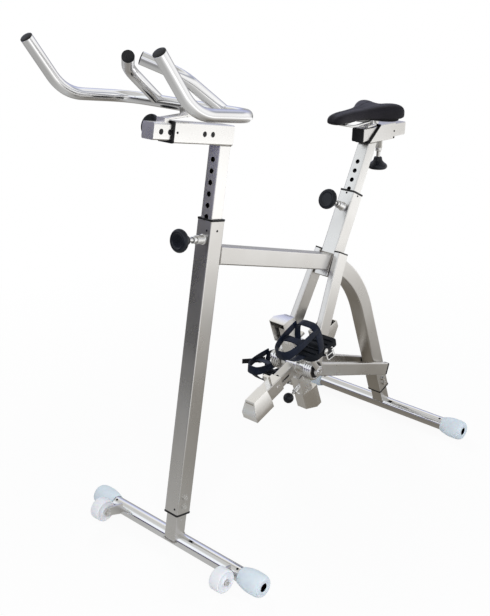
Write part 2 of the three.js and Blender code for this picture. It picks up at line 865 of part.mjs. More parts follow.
function handlebarPost() {
  const low = frontPostLength - handlebarPostInsert;
  const top = handlebarSleeveHeight - outerSide / 2 + outerWall / 2;
  const post = shifted(squareTube(innerSide, innerSide, innerCorner, innerWall, top - low), 0, 0, low);
  const heights = spread(frontPinHeight, holePitch, frontHolesBelow, frontHolesAbove);
  const holes = holeRow(frontFrame, lengthways.clone().negate(), heights, 2 * innerWall);
  const length = sleeveRear - sleeveFront;
  const sleeve = shifted(block(outerSide, outerSide, outerCorner, length), 0, 0, sleeveFront);
  const side = outerSide - 2 * outerWall;
  const hollowLength = length + 2 * overrun;
  const hollow = shifted(block(side, side, outerCorner / 4, hollowLength), 0, 0, sleeveFront - overrun);
  const windows = [sleeveWindowFront, sleeveWindowRear].map((at) => (
    sideHole(outerSide, at, outerSide / 2 - overrun)
  ));
  const shell = fused([placed(sleeve, sleeveFrame), lockBoss(lockFrames.reach), placed(post, frontFrame)]);
  const cuts = [hollow, ...windows].map((cutter) => placed(cutter, sleeveFrame));
  return cutBy(shell, [...cuts, ...holes, lockBore(lockFrames.reach)]);
}

function handlebarSlider() {
  const length = sliderRear - sliderFront;
  const tube = shifted(squareTube(innerSide, innerSide, innerCorner, innerWall, length), 0, 0, sliderFront);
  const plugSide = innerSide - innerWall;
  const plug = shifted(block(plugSide, plugSide, innerCorner, innerWall), 0, 0, sliderFront);
  const heights = spread(reachPinAt, reachPitch, reachHolesAhead, reachHolesBehind);
  const drills = heights.map((at) => sideHole(innerSide, at, innerSide + overrun));
  const slider = placed(cutBy(tube.add(plug), drills), sleeveFrame);
  return fused([slider, handlebarBracket()]);
}

// A heel on the slider's top face, a block under the bar, and the plate that joins them
function handlebarBracket() {
  const top = basePoint(0, 0, 0);
  const heelLow = (innerSide - innerWall) / 2;
  const foot = along(sleeveFrame, bracketPlate / 2 - heelLow - bracketHeelTall, 0, bracketHeelAt);
  const seat = new THREE.Vector3(top.x, 0, top.z - bracketBlockHeight);
  const under = placed(
    block(bracketBlockLength, bracketWidth, bracketPlate / 4, bracketBlockHeight),
    new THREE.Matrix4().setPosition(seat),
  );
  const heelBlock = block(bracketHeelTall, bracketWidth, bracketPlate / 4, bracketHeelLong);
  const heelStart = bracketHeelAt - bracketHeelLong / 2;
  const heel = placed(shifted(heelBlock, -heelLow - bracketHeelTall / 2, 0, heelStart), sleeveFrame);
  const nearSeat = new THREE.Vector3(seat.x, 0, seat.z + bracketPlate / 2);
  const plate = placed(
    block(bracketPlate, bracketWidth - bracketPlate / 4, bracketPlate / 4, foot.distanceTo(nearSeat)),
    frameBetween(foot, nearSeat),
  );
  const rest = placed(bar(reamed(barRadius + gap, roundSteps), 2 * bracketWidth, roundSteps), frameAt(
    new THREE.Vector3(top.x, -bracketWidth, top.z),
    sideways,
  ));
  return fused([under, heel, plate]).subtract(rest);
}

// Handlebar: one bent outer bar and two inner horns welded to it

// A point given ahead of, beside and above the middle of the handlebar's base
function basePoint(ahead, beside, above) {
  const middle = along(sleeveFrame, 0, 0, 0);
  return new THREE.Vector3(middle.x - baseAhead - ahead, beside, middle.z + baseRise + above);
}

function barEnds(side) {
  const hornHalf = baseHalf + hornFlare;
  const outer = [
    basePoint(hornAhead, side * hornHalf, hornRise),
    basePoint(hornAhead + hornTipAhead, side * hornHalf, hornRise + hornTipRise),
  ];
  const inner = [
    basePoint(innerBendAhead, side * innerBendHalf, innerBendRise),
    basePoint(innerTipAhead, side * innerTipHalf, innerTipRise),
  ];
  return { outer, inner };
}

function endBore([from, to]) {
  const back = from.clone().sub(to).setLength(endCapSpigot + endCapThick);
  const past = to.clone().sub(from).setLength(overrun);
  return boreBetween(to.clone().add(back), to.clone().add(past), barRadius - barWall);
}

function handlebar() {
  const left = barEnds(-1);
  const right = barEnds(1);
  const outerPoints = [
    left.outer[1], left.outer[0], basePoint(0, -baseHalf, 0),
    basePoint(0, baseHalf, 0), right.outer[0], right.outer[1],
  ];
  const outerTrims = [hornBend, baseBend, baseBend, hornBend];
  const outerBar = bentBar(outerPoints, outerTrims, barRadius, outerBarSteps, pipeSteps);
  const inner = [[-1, left], [1, right]].map(([side, ends]) => {
    const root = basePoint(-innerRootBack, side * innerRootHalf, innerRootRise);
    return bentBar([root, ...ends.inner], [innerBendTrim], barRadius, innerBarSteps, pipeSteps);
  });
  const bores = [left.outer, left.inner, right.outer, right.inner].map((ends) => endBore(ends));
  return cutBy(fused([outerBar, ...inner]), bores);
}

function barEndCap([from, to]) {
  const spigot = barRadius - barWall - gap;
  const top = gap + endCapThick;
  const profile = [
    [0, gap - endCapSpigot], [spigot, gap - endCapSpigot], [spigot, gap], [barRadius, gap],
    [barRadius, top - endCapEdge], [barRadius - endCapEdge, top], [0, top],
  ];
  return placed(turned(profile, pipeSteps), frameAt(to, to.clone().sub(from), lengthways));
}

// Main tube, seat tube and seat post

// Everything on one side of a square tube, from its far face and a gap onwards
function spaceBeside(frame, direction) {
  const shift = direction * ((cutterSize - outerSide) / 2 - gap);
  const cutter = block(cutterSize, cutterSize, outerCorner, 2 * frontPostLength);
  return placed(shifted(cutter, shift, 0, -cutterSize), frame);
}

function mainTube() {
  const length = mainLength + 2 * outerSide;
  const tube = shifted(squareTube(mainSide, mainSide, outerCorner, outerWall, length), 0, 0, -outerSide);
  return cutBy(placed(tube, mainFrame), [spaceBeside(frontFrame, -1), spaceBeside(seatFrame, 1)]);
}

function seatTube() {
  const tube = placed(squareTube(outerSide, outerSide, outerCorner, outerWall, seatTubeLength), seatFrame);
  const shell = tube.add(lockBossShell(lockFrames.seat, seatFrame));
  return shell.subtract(lockBore(lockFrames.seat));
}

// The sleeve's mouth is cut on a slope, long side below
function mouthWedge(overhang) {
  const half = outerSide / 2 + overrun;
  const slope = seatMitre / outerSide;
  const points = [
    [half, -overrun * slope], [-half, (outerSide + overrun) * slope],
    [-half, -cutterSize], [half, -cutterSize],
  ].map(([x, z]) => new THREE.Vector2(x, z + overhang));
  const wedge = shifted(sideOn(prism(points, cutterSize)), 0, cutterSize / 2, 0);
  return placed(wedge, seatSleeveFrame);
}

function seatPost() {
  const low = seatTubeLength - seatPostInsert;
  const inWall = (outerSide - outerWall) / 2;
  const underside = along(seatSleeveFrame, inWall, 0, 0);
  const top = underside.sub(along(seatFrame, 0, 0, 0)).dot(seatAxis) + outerSide;
  const post = shifted(squareTube(innerSide, innerSide, innerCorner, innerWall, top - low), 0, 0, low);
  const cutter = block(cutterSize, cutterSize, outerCorner, 2 * cutterSize);
  const above = shifted(cutter, inWall - cutterSize / 2, 0, -cutterSize);
  const heights = spread(seatPinHeight, seatHolePitch, seatHolesBelow, seatHolesAbove);
  const holes = holeRow(seatFrame, lengthways.clone().negate(), heights, 2 * innerWall);
  const sleeve = placed(block(outerSide, outerSide, outerCorner, seatSleeveLength), seatSleeveFrame);
  const side = outerSide - 2 * outerWall;
  const hollowBlock = block(side, side, outerCorner / 4, seatSleeveLength + 2 * overrun);
  const hollow = shifted(hollowBlock, 0, 0, -overrun);
  const standing = placed(post, seatFrame).subtract(placed(above, seatSleeveFrame));
  const shell = fused([sleeve.subtract(mouthWedge(0)), lockBoss(lockFrames.saddle), standing]);
  return cutBy(shell, [placed(hollow, seatSleeveFrame), ...holes, lockBore(lockFrames.saddle)]);
}

function seatSleeveBush() {
  const outerBore = outerSide - 2 * outerWall - 2 * gap;
  const opening = innerSide + 2 * slideGap;
  const flangeSide = outerSide + 2 * bushProud;
  const start = -2 * bushFlange;
  const flangeLength = seatMitre + 3 * bushFlange;
  const flange = shifted(block(flangeSide, flangeSide, outerCorner, flangeLength), 0, 0, start);
  const spigot = shifted(block(outerBore, outerBore, outerCorner / 2, seatMitre + bushSpigot), 0, 0, start);
  const hole = shifted(block(opening, opening, innerCorner, cutterSize), 0, 0, -cutterSize / 2);
  const lip = placed(flange, seatSleeveFrame).intersect(mouthWedge(-gap));
  const whole = lip.add(placed(spigot, seatSleeveFrame)).subtract(placed(hole, seatSleeveFrame));
  return whole.subtract(mouthWedge(-gap - bushFlange));
}

function seatSlider() {
  const length = seatSliderRear - seatSliderFront;
  const tubeShell = squareTube(innerSide, innerSide, innerCorner, innerWall, length);
  const tube = shifted(tubeShell, 0, 0, seatSliderFront);
  const endSide = innerSide - innerWall;
  const end = shifted(block(endSide, endSide, innerCorner, innerWall), 0, 0, seatSliderRear - innerWall);
  const placesAlong = spread(seatReachPinAt, reachPitch, seatReachHolesAhead, seatReachHolesBehind);
  const holes = holeRow(seatSleeveFrame, lengthways, placesAlong, 2 * innerWall);
  return cutBy(placed(tube.add(end), seatSleeveFrame), holes);
}

function seatSliderPlug() {
  const start = seatSliderFront - plugThick - gap;
  const side = innerSide - 2 * innerWall - 2 * gap;
  const face = shifted(block(innerSide, innerSide, innerCorner, plugThick), 0, 0, start);
  const spigot = shifted(block(side, side, innerCorner / 2, plugSpigot + plugThick), 0, 0, start);
  return placed(face.add(spigot), seatSleeveFrame);
}

// Saddle

function saddleClamp() {
  const clampX = seatSleeveOrigin.x + clampBehind;
  const low = along(seatSleeveFrame, -innerSide / 2 - gap, 0, clampBehind);
  const floor = low.z + clampPlate / 2;
  const corner = clampPlate / 2;
  const plate = shifted(block(clampPlateLong, clampPlateWide, corner, clampPlate), low.x, 0, floor);
  const stem = shifted(block(clampStemLong, clampStemWide, corner, railZ - low.z), low.x, 0, floor);
  const yokeWide = 2 * (railHalfGap + clampYokeLap);
  const yokeLow = railZ - clampYokeTall / 2;
  const yoke = shifted(block(clampYokeLong, yokeWide, corner, clampYokeTall), clampX, 0, yokeLow);
  const grooves = [-1, 1].map((side) => {
    const from = new THREE.Vector3(clampX - clampPlateWide, side * railHalfGap, railZ);
    const to = new THREE.Vector3(clampX + clampPlateWide, side * railHalfGap, railZ);
    return boreBetween(from, to, railRadius + gap);
  });
  return cutBy(fused([plate, stem, yoke]), grooves);
}

// One bent rod: up at both tails, level under the seat, and round under the nose
function saddleRails() {
  const noseX = seatSleeveOrigin.x - railNoseAhead;
  const tailX = noseX + railLength;
  const half = [
    [tailX, railTailHalf, railZ + railRise], [tailX - railBendRun, railHalfGap, railZ],
    [noseX + railBendRun, railHalfGap, railZ], [noseX, railNoseHalf, railZ + railRise],
  ];
  const left = half.map(([x, y, z]) => new THREE.Vector3(x, -y, z));
  const right = half.map(([x, y, z]) => new THREE.Vector3(x, y, z)).reverse();
  const trims = [railTrim, railTrim, railNoseTrim, railNoseTrim, railTrim, railTrim];
  return bentBar([...left, ...right], trims, railRadius, railSteps, railSegments);
}

function saddleRing(station, inset, heights, dipDepth, steps) {
  const length = saddleLength - 2 * inset;
  const half = saddleHalfWidth * station.half - inset;
  const ring = [];
  for (let step = 0; step < steps; step += 1) {
    const angle = step / steps * 2 * Math.PI;
    const cosine = Math.cos(angle);
    const sine = Math.sin(angle);
    const across = Math.sign(cosine) * Math.abs(cosine) ** saddleSquareness;
    const rise = Math.abs(sine) ** saddleSquareness;
    const centre = 1 - across * across;
    const hang = saddleDroop * station.droop * Math.abs(across) ** saddleDroopPower;
    const { floor, middle, roof } = heights(station, hang);
    const dip = sine > 0 ? dipDepth * station.half * centre ** saddleChannelPower : 0;
    const notch = saddleNotch * station.notch * centre ** saddleNotchPower;
    const x = saddleNoseX + inset + length * station.along - notch;
    const z = middle + (sine > 0 ? roof - middle : floor - middle) * rise - dip;
    ring.push(new THREE.Vector3(x, half * across, z));
  }
  return ring;
}

// Outer form of the padded cover, level along the top and drooping at the sides
function coverHeights(station, hang) {
  const floor = saddleFloorZ - coverLap + saddleCrown * station.low - hang;
  const roof = saddleFloorZ + saddleCrown * station.top;
  return { floor, middle: (floor + roof) / 2, roof };
}

function saddleCover() {
  const rings = saddleShares.map((station) => (
    saddleRing(station, 0, coverHeights, saddleChannel, saddleRingSteps)
  ));
  const pocket = saddleShell(shellInset - pocketClear, saddleCrown, pocketClear);
  return loft(rings).subtract(pocket);
}

function saddleShell(inset, deeper, higher) {
  const heights = (station, hang) => ({
    floor: saddleFloorZ - deeper - hang,
    middle: saddleFloorZ + shellThick / 2 - hang,
    roof: saddleFloorZ + shellThick + higher - hang,
  });
  return loft(saddleShares.map((station) => saddleRing(station, inset, heights, 0, shellRingSteps)));
}

function saddleBase() {
  return saddleShell(shellInset, 0, 0);
}

// Struts with the bearing housings, and the chain stays

function strutFrame(side) {
  const foot = new THREE.Vector3(axleX + strutFootBehind, side * strutFootY, axleZ);
  const topY = (outerSide + strutThick) / 2 + strutClear;
  const top = along(seatFrame, -strutTopAhead, side * topY, strutTopRise);
  return { frame: frameBetween(foot, top), length: foot.distanceTo(top) };
}

// A round lying beside the middle plane, from one distance out to another
function sideBar(side, radius, inner, outer, steps) {
  const from = new THREE.Vector3(axleX, side * inner, axleZ);
  const to = new THREE.Vector3(axleX, side * outer, axleZ);
  return barBetween(from, to, radius, steps);
}

function strut(side) {
  const { frame, length } = strutFrame(side);
  const tubeLength = length - strutCapThick;
  const tube = placed(squareTube(strutDepth, strutThick, strutCorner, strutWall, tubeLength), frame);
  const ribs = rowOf(housingRibStart, housingRibPitch, housingRibCount).map((at) => (
    sideBar(side, housingRadius + housingRib, at, at + housingRibWidth, roundSteps)
  ));
  const housing = sideBar(side, housingRadius, housingInner, housingOuter, roundSteps);
  const eyeRadius = reamed(axleRadius + slideGap, roundSteps);
  const eye = lyingBar(eyeRadius, 2 * housingOuter, axleX, axleZ, roundSteps);
  return fused([tube, housing, ...ribs]).subtract(eye);
}

function strutCap(side) {
  const { frame, length } = strutFrame(side);
  const start = length - strutCapThick + gap;
  const inset = 2 * (strutWall + gap);
  const face = shifted(block(strutDepth, strutThick, strutCorner, strutCapThick), 0, 0, start);
  const spigotLength = strutCapSpigot + strutCapThick;
  const spigot = block(strutDepth - inset, strutThick - inset, strutCorner / 2, spigotLength);
  return placed(face.add(shifted(spigot, 0, 0, start - strutCapSpigot)), frame);
}

function chainStay(side) {
  const rearY = (outerSide + stayThick) / 2 + stayClear;
  const to = along(archFrame, stayRearBehind, side * rearY, stayRearRise);
  const slope = (to.z - axleZ) / (to.x - axleX);
  const from = new THREE.Vector3(axleX + stayLead, side * stayFrontY, axleZ + stayLead * slope);
  const length = from.distanceTo(to);
  const tube = squareTube(stayTall, stayThick, strutCorner, stayWall, length);
  const endTall = stayTall - stayWall;
  const endThick = stayThick - stayWall;
  const end = shifted(block(endTall, endThick, strutCorner, stayWall), 0, 0, length - stayWall);
  const ringRadius = reamed(housingRadius + housingRib + gap, roundSteps);
  const ring = sideBar(side, ringRadius, housingInner / 2, 2 * housingOuter, roundSteps);
  const strutAt = strutFrame(side);
  const room = block(strutDepth + 2 * gap, strutThick + 2 * gap, strutCorner, strutAt.length);
  return cutBy(placed(tube.add(end), frameBetween(from, to)), [ring, placed(room, strutAt.frame)]);
}

// Arch: straight up from the rear foot, then curving forward onto the seat tube's axis
function archRows() {
  const meeting = along(seatFrame, 0, 0, archRiseOnSeatTube).applyMatrix4(archFrame.clone().invert());
  const trim = archRadius * Math.tan(archTurn / 2);
  const lastRun = -meeting.x / Math.sin(archTurn) - trim;
  const straight = meeting.z + meeting.x / Math.tan(archTurn) - trim;
  const rows = [{ at: new THREE.Vector3(0, 0, 0), angle: 0 }];
  for (let step = 0; step <= archSteps; step += 1) {
    const angle = archTurn * step / archSteps;
    const ahead = archRadius * (1 - Math.cos(angle));
    rows.push({ at: new THREE.Vector3(-ahead, 0, straight + archRadius * Math.sin(angle)), angle });
  }
  const onwards = new THREE.Vector3(-Math.sin(archTurn), 0, Math.cos(archTurn)).multiplyScalar(lastRun);
  rows.push({ at: rows[rows.length - 1].at.clone().add(onwards), angle: archTurn });
  return rows;
}

function arch() {
  const rows = archRows();
  const rings = (side, corner) => rows.map(({ at, angle }) => outlineOf(side, side, corner).map((point) => (
    new THREE.Vector3(at.x + point.x * Math.cos(angle), point.y, at.z + point.x * Math.sin(angle))
  )));
  const skin = placed(loft(rings(outerSide, outerCorner)), archFrame);
  const hollowRings = rings(outerSide - 2 * outerWall, outerCorner / 2);
  const down = new THREE.Vector3(0, 0, -overrun);
  hollowRings[0] = hollowRings[0].map((point) => point.clone().add(down));
  const hollow = placed(loft(hollowRings), archFrame);
  return cutBy(skin, [hollow, spaceBeside(seatFrame, -1), ...boltBores(archFrame, rearBolts)]);
}

// Paddle wheel: local X out along the arm, local Z up over its top face

function armFrame(quarter) {
  const out = Math.PI + armTilt - quarter * Math.PI / 2;
  const x = new THREE.Vector3(Math.cos(out), 0, Math.sin(out));
  const y = new THREE.Vector3(0, -1, 0);
  const z = new THREE.Vector3().crossVectors(x, y);
  return new THREE.Matrix4().makeBasis(x, y, z).setPosition(axlePoint);
}

function boxAlong(from, to, wide, tall, corner) {
  const frame = frameAt(new THREE.Vector3(from, 0, 0), new THREE.Vector3(1, 0, 0));
  return placed(block(tall, wide, corner, to - from), frame);
}

function armSolid() {
  const tube = boxAlong(0, armReach, armWide, armTall, armCorner);
  const boreWide = armWide - 2 * armWall;
  const boreTall = armTall - 2 * armWall;
  const hollow = boxAlong(hubRadius + armWall, armReach + overrun, boreWide, boreTall, armCorner / 2);
  const slotBar = (at) => lyingBar(armSlotRadius, armWide, at, 0, boreSteps);
  const slot = boxAlong(armSlotStart, armSlotEnd, 2 * armWide, 2 * armSlotRadius, armCorner / 2);
  const holes = [armHoleInner, armHoleOuter].map((at) => {
    const start = new THREE.Vector3(at, 0, 0);
    const stop = new THREE.Vector3(at, 0, armTall);
    return boreBetween(start, stop, holeRadius);
  });
  return { tube, cuts: [hollow, slot, slotBar(armSlotStart), slotBar(armSlotEnd), ...holes] };
}

function paddleCross() {
  const { tube, cuts } = armSolid();
  const frames = [0, 1, 2, 3].map((quarter) => armFrame(quarter));
  const axle = lyingBar(axleRadius, crankInner - gap, axleX, axleZ, roundSteps);
  const hub = lyingBar(hubRadius, hubHalf, axleX, axleZ, roundSteps);
  const collar = lyingBar(hubCollarRadius, hubCollarHalf, axleX, axleZ, roundSteps);
  const arms = frames.map((frame) => placed(cutBy(tube, cuts), frame));
  return fused([hub, collar, axle, ...arms]);
}

// The hood's rings from its roof down to its open mouth; an inset gives the space inside it
function hoodRings(inset, mouth) {
  const from = hoodStart + inset;
  const levels = [
    { to: hoodTopEnd - inset, half: hoodTopWide / 2 - inset, high: hoodTop - inset },
    { to: hoodTipEnd - inset, half: hoodWide / 2 - inset, high: hoodShoulder },
    { to: hoodTipEnd - inset, half: hoodWide / 2 - inset, high: mouth },
  ];
  return levels.map(({ to, half, high }) => [
    new THREE.Vector3(from, -half, high), new THREE.Vector3(to, -half, high),
    new THREE.Vector3(to, half, high), new THREE.Vector3(from, half, high),
  ]);
}

function bladeSolid(tabbed) {
  const sleeve = boxAlong(bladeStart, hoodStart + bladeSleeveLap, bladeWide, bladeTall, armCorner);
  const boreWide = armWide + 2 * slideGap;
  const boreTall = armTall + 2 * slideGap;
  const hollow = boxAlong(bladeStart - overrun, bladeHollowEnd, boreWide, boreTall, armCorner);
  const hood = loft(hoodRings(0, hoodLow));
  const inside = loft(hoodRings(bladeWall, hoodLow - overrun));
  const shell = fused([sleeve, hood.subtract(inside)]);
  const screwHead = (side) => {
    const start = new THREE.Vector3(bladeScrewAt, side * (bladeWide / 2 - bladeWall), 0);
    const stop = new THREE.Vector3(bladeScrewAt, side * (bladeWide / 2 + bladeScrewProud), 0);
    return barBetween(start, stop, bladeScrewRadius, boreSteps);
  };
  const tabBlock = block(bladeTabThick, bladeTabWide, armCorner, bladeTabHigh + bladeWall);
  const tab = shifted(tabBlock, bladeTabAt, 0, bladeTall / 2 - bladeWall);
  const heads = [-1, 1].map((side) => screwHead(side));
  const extras = tabbed ? [...heads, tab] : heads;
  return fused([shell, ...extras]).subtract(hollow);
}

function blade(quarter, pull, locked) {
  const solid = shifted(bladeSolid(!locked), pull, 0, 0);
  const shell = locked ? solid.add(pinCollar()).subtract(pinBore()) : solid;
  return placed(shell, armFrame(quarter));
}

function pinCollar() {
  const start = new THREE.Vector3(ballAt, 0, bladeTall / 2 - bladeWall / 2);
  const stop = new THREE.Vector3(ballAt, 0, bladeTall / 2 + ballCollarLong);
  return barBetween(start, stop, ballCollarRadius, boreSteps);
}

function pinBore() {
  const start = new THREE.Vector3(ballAt, 0, armTall / 4);
  const stop = new THREE.Vector3(ballAt, 0, 2 * bladeTall);
  return boreBetween(start, stop, ballPinRadius + gap);
}

function ballPin(quarter) {
  const nose = armTall / 2 + gap;
  const shoulder = bladeTall / 2 + ballCollarLong + overrun;
  const profile = [[0, nose], [ballPinRadius, nose], [ballPinRadius, shoulder], [ballStemRadius, shoulder]];
  for (let step = 1; step < ballSteps; step += 1) {
    const angle = (step / ballSteps - 1 / 2) * Math.PI;
    profile.push([ballRadius * Math.cos(angle), ballOut + ballRadius * Math.sin(angle)]);
  }
  profile.push([0, ballOut + ballRadius]);
  const stand = frameAt(new THREE.Vector3(ballAt, 0, 0), upright);
  return placed(placed(turned(profile, pipeSteps), stand), armFrame(quarter));
}

// Cranks and pedals

function crankTip(side) {
  return new THREE.Vector3(
    axleX - side * crankLength * Math.cos(crankAngle), 0,
    axleZ - side * crankLength * Math.sin(crankAngle),
  );
}

function crank(side) {
  const tip = crankTip(side);
  const outer = crankInner + crankThick;
  const middle = crankInner + crankThick / 2;
  const round = (point, radius, from, to, steps) => barBetween(
    new THREE.Vector3(point.x, side * from, point.z),
    new THREE.Vector3(point.x, side * to, point.z),
    radius,
    steps,
  );
  const armFrom = new THREE.Vector3(axleX, side * middle, axleZ);
  const armTo = new THREE.Vector3(tip.x, side * middle, tip.z);
  const arm = block(2 * crankWaist, crankArmThick, crankArmThick / 4, crankLength);
  return fused([
    round(axlePoint, crankEyeRadius, crankInner, outer, roundSteps),
    round(tip, crankTipRadius, crankInner, outer, roundSteps),
    placed(arm, frameBetween(armFrom, armTo)),
    round(axlePoint, crankCapRadius, middle, outer + crankCapThick, roundSteps),
    round(tip, spindleRadius, middle, pedalInner + spindleLong, boreSteps),
  ]);
}

function pedalFrame(side) {
  const tip = crankTip(side);
  const tilt = new THREE.Matrix4().makeRotationY(side < 0 ? pedalTiltLeft : pedalTiltRight);
  return tilt.setPosition(tip.x, side * (pedalInner + pedalWide / 2), tip.z);
}

function pedalOutline(long, wide, corner) {
  const points = [];
  const signs = [[1, 1], [-1, 1], [-1, -1], [1, -1]];
  signs.forEach(([sx, sy], quarter) => {
    const rounding = sx < 0 ? corner : corner / 2;
    for (let step = 0; step <= pedalSteps; step += 1) {
      const angle = (quarter + step / pedalSteps) * Math.PI / 2;
      points.push(new THREE.Vector2(
        sx * (long / 2 - rounding) + rounding * Math.cos(angle),
        sy * (wide / 2 - rounding) + rounding * Math.sin(angle),
      ));
    }
  });
  return points;
}

function pedalPocket(long, wide, at) {
  const start = pedalPocketDeep - pedalThick / 2 - pedalThick;
  return shifted(block(long, wide, pedalRib, pedalThick), at, 0, start);
}

function pedal(side) {
  const outline = pedalOutline(pedalLong, pedalWide, pedalCorner);
  const plate = shifted(prism(outline, pedalThick), 0, 0, -pedalThick / 2);
  const hub = lyingBar(pedalHubRadius, pedalWide / 2, 0, 0, roundSteps);
  const ribPitch = pedalLong / (pedalRibCount + 1);
  const ribWide = pedalWide - 4 * pedalRib;
  const ribs = spread(0, ribPitch, (pedalRibCount - 1) / 2, (pedalRibCount - 1) / 2).map((at) => (
    shifted(block(pedalRib, ribWide, pedalRib / 3, 2 * pedalRib), at, 0, pedalThick / 2 - pedalRib)
  ));
  const boreEnd = spindleLong + gap - pedalWide / 2;
  const eye = boreBetween(
    new THREE.Vector3(0, -side * pedalWide, 0),
    new THREE.Vector3(0, side * boreEnd, 0),
    spindleRadius + slideGap,
  );
  const pockets = [
    pedalPocket(pedalRearPocketLong, pedalRearPocketWide, pedalRearPocketAt),
    pedalPocket(pedalFrontPocketLong, pedalFrontPocketWide, pedalFrontPocketAt),
  ];
  return placed(cutBy(fused([plate, hub, ...ribs]), [eye, ...pockets]), pedalFrame(side));
}

// A half turn from one side to the other: how far sideways and how far out, both as shares
function halfTurn(step, sidePower, crownPower) {
  const angle = Math.PI * step / strapSteps;
  const cosine = Math.cos(angle);
  return {
    beside: Math.sign(cosine) * Math.abs(cosine) ** sidePower,
    out: Math.abs(Math.sin(angle)) ** crownPower,
  };
}

// Strap over the instep, its legs standing on the pedal's edges
function instepRows() {
  const legY = pedalWide / 2 - strapThick;
  const legZ = pedalThick / 2 + pedalRib + gap;
  const leg = (side) => ({ at: new THREE.Vector3(strapLegX, side * legY, legZ), across: lengthways });
  const rows = [leg(1)];
  for (let step = 1; step < strapSteps; step += 1) {
    const { beside, out } = halfTurn(step, strapSidePower, strapCrownPower);
    const z = Math.max((strapHigh - strapThick) * out, strapLegRise);
    rows.push({ at: new THREE.Vector3(strapLegX, strapSide * beside, z), across: lengthways });
  }
  rows.push(leg(-1));
  return rows;
}

// Loop from the instep strap forward round the toes
function toeRows() {
  const rows = [];
  for (let step = 0; step <= strapSteps; step += 1) {
    const { beside, out } = halfTurn(step, strapToeSidePower, strapToeCrownPower);
    const x = strapLegX + (strapToeX - strapLegX) * out;
    const z = strapToeRoot + (strapToeZ - strapToeRoot) * out;
    rows.push({ at: new THREE.Vector3(x, strapToeHalf * beside, z), across: upright });
  }
  return rows;
}

// Tongue from the toe loop down and back under the pedal's front edge
function tongueRows() {
  return [
    [tongueTopAt, tongueTopZ], [tongueBendAt, tongueBendZ], [tongueLowAt, tongueLowZ],
    [tongueFootAt, tongueFootZ], [tongueEndAt, tongueEndZ],
  ].map(([x, z]) => ({ at: new THREE.Vector3(x, 0, z), across: sideways }));
}

function footStrap(side) {
  const whole = fused([
    strapBand(instepRows(), strapWidth, strapThick),
    strapBand(toeRows(), strapToeWidth, strapThick),
    strapBand(tongueRows(), strapWidth, strapThick),
  ]);
  const outline = pedalOutline(pedalLong + 2 * gap, pedalWide + 2 * gap, pedalCorner);
  const room = shifted(prism(outline, pedalThick + 2 * gap), 0, 0, -pedalThick / 2 - gap);
  return placed(whole.subtract(room), pedalFrame(side));
}

// Assembly

const bike = new THREE.Group();
bike.name = 'aqua_bike';

function addPiece(name, solid, look) {
  const geometry = geometryOf(solid);
  geometry.computeBoundingBox();
  const centre = geometry.boundingBox.getCenter(new THREE.Vector3());
  geometry.translate(-centre.x, -centre.y, -centre.z);
  const mesh = new THREE.Mesh(geometry, new THREE.MeshStandardMaterial(look));
  mesh.name = name;
  mesh.position.copy(centre);
  bike.add(mesh);
}

const sides = [['left', -1], ['right', 1]];

addPiece('front_foot', frontFoot(), polishedSteel);
addPiece('rear_foot', rearFoot(), polishedSteel);
addPiece('front_post', frontPost(), satinSteel);
addPiece('front_post_foot_bush', bush(frontFrame, false, boltBores(frontFrame, frontBolts)), blackPlastic);
addPiece('front_post_top_bush', bush(mouthOf(frontFrame, frontPostLength), true, []), blackPlastic);
addPiece('main_tube', mainTube(), satinSteel);
addPiece('seat_tube', seatTube(), satinSteel);
addPiece('seat_tube_bush', bush(mouthOf(seatFrame, seatTubeLength), true, []), blackPlastic);
addPiece('rear_arch', arch(), satinSteel);
addPiece('rear_arch_bush', bush(archFrame, false, boltBores(archFrame, rearBolts)), blackPlastic);
frontBolts.forEach((height, index) => {
  addPiece(`front_bolt_${index + 1}`, throughBolt(frontFrame, height), boltSteel);
});
rearBolts.forEach((height, index) => {
  addPiece(`rear_bolt_${index + 1}`, throughBolt(archFrame, height), boltSteel);
});
addPiece('handlebar_post', handlebarPost(), satinSteel);
const sleeveMouth = frameAt(along(sleeveFrame, 0, 0, sleeveFront), frontBack.clone().negate());
addPiece('handlebar_sleeve_bush', bush(sleeveMouth, true, []), blackPlastic);
addPiece('handlebar_slider', handlebarSlider(), satinSteel);
addPiece('handlebar', handlebar(), polishedSteel);
addPiece('seat_post', seatPost(), satinSteel);
addPiece('seat_sleeve_bush', seatSleeveBush(), blackPlastic);
addPiece('seat_slider', seatSlider(), satinSteel);
addPiece('seat_slider_plug', seatSliderPlug(), blackPlastic);
addPiece('saddle_clamp', saddleClamp(), boltSteel);
addPiece('saddle_rails', saddleRails(), boltSteel);
addPiece('saddle_base', saddleBase(), blackPlastic);
addPiece('saddle_cover', saddleCover(), blackLeather);
addPiece('paddle_cross', paddleCross(), satinSteel);
addPiece('paddle_blade_front', blade(0, bladePull, false), satinSteel);
addPiece('paddle_blade_top', blade(1, 0, false), satinSteel);
addPiece('paddle_blade_rear', blade(2, 0, false), satinSteel);
addPiece('paddle_blade_low', blade(3, 0, true), satinSteel);
addPiece('paddle_lock_pin', ballPin(3), blackPlastic);
addPiece('front_lock_knob', lockPin(lockFrames.front), blackPlastic);
addPiece('reach_lock_knob', lockPin(lockFrames.reach), blackPlastic);
addPiece('seat_lock_knob', lockPin(lockFrames.seat), blackPlastic);
addPiece('saddle_lock_knob', lockPin(lockFrames.saddle), blackPlastic);
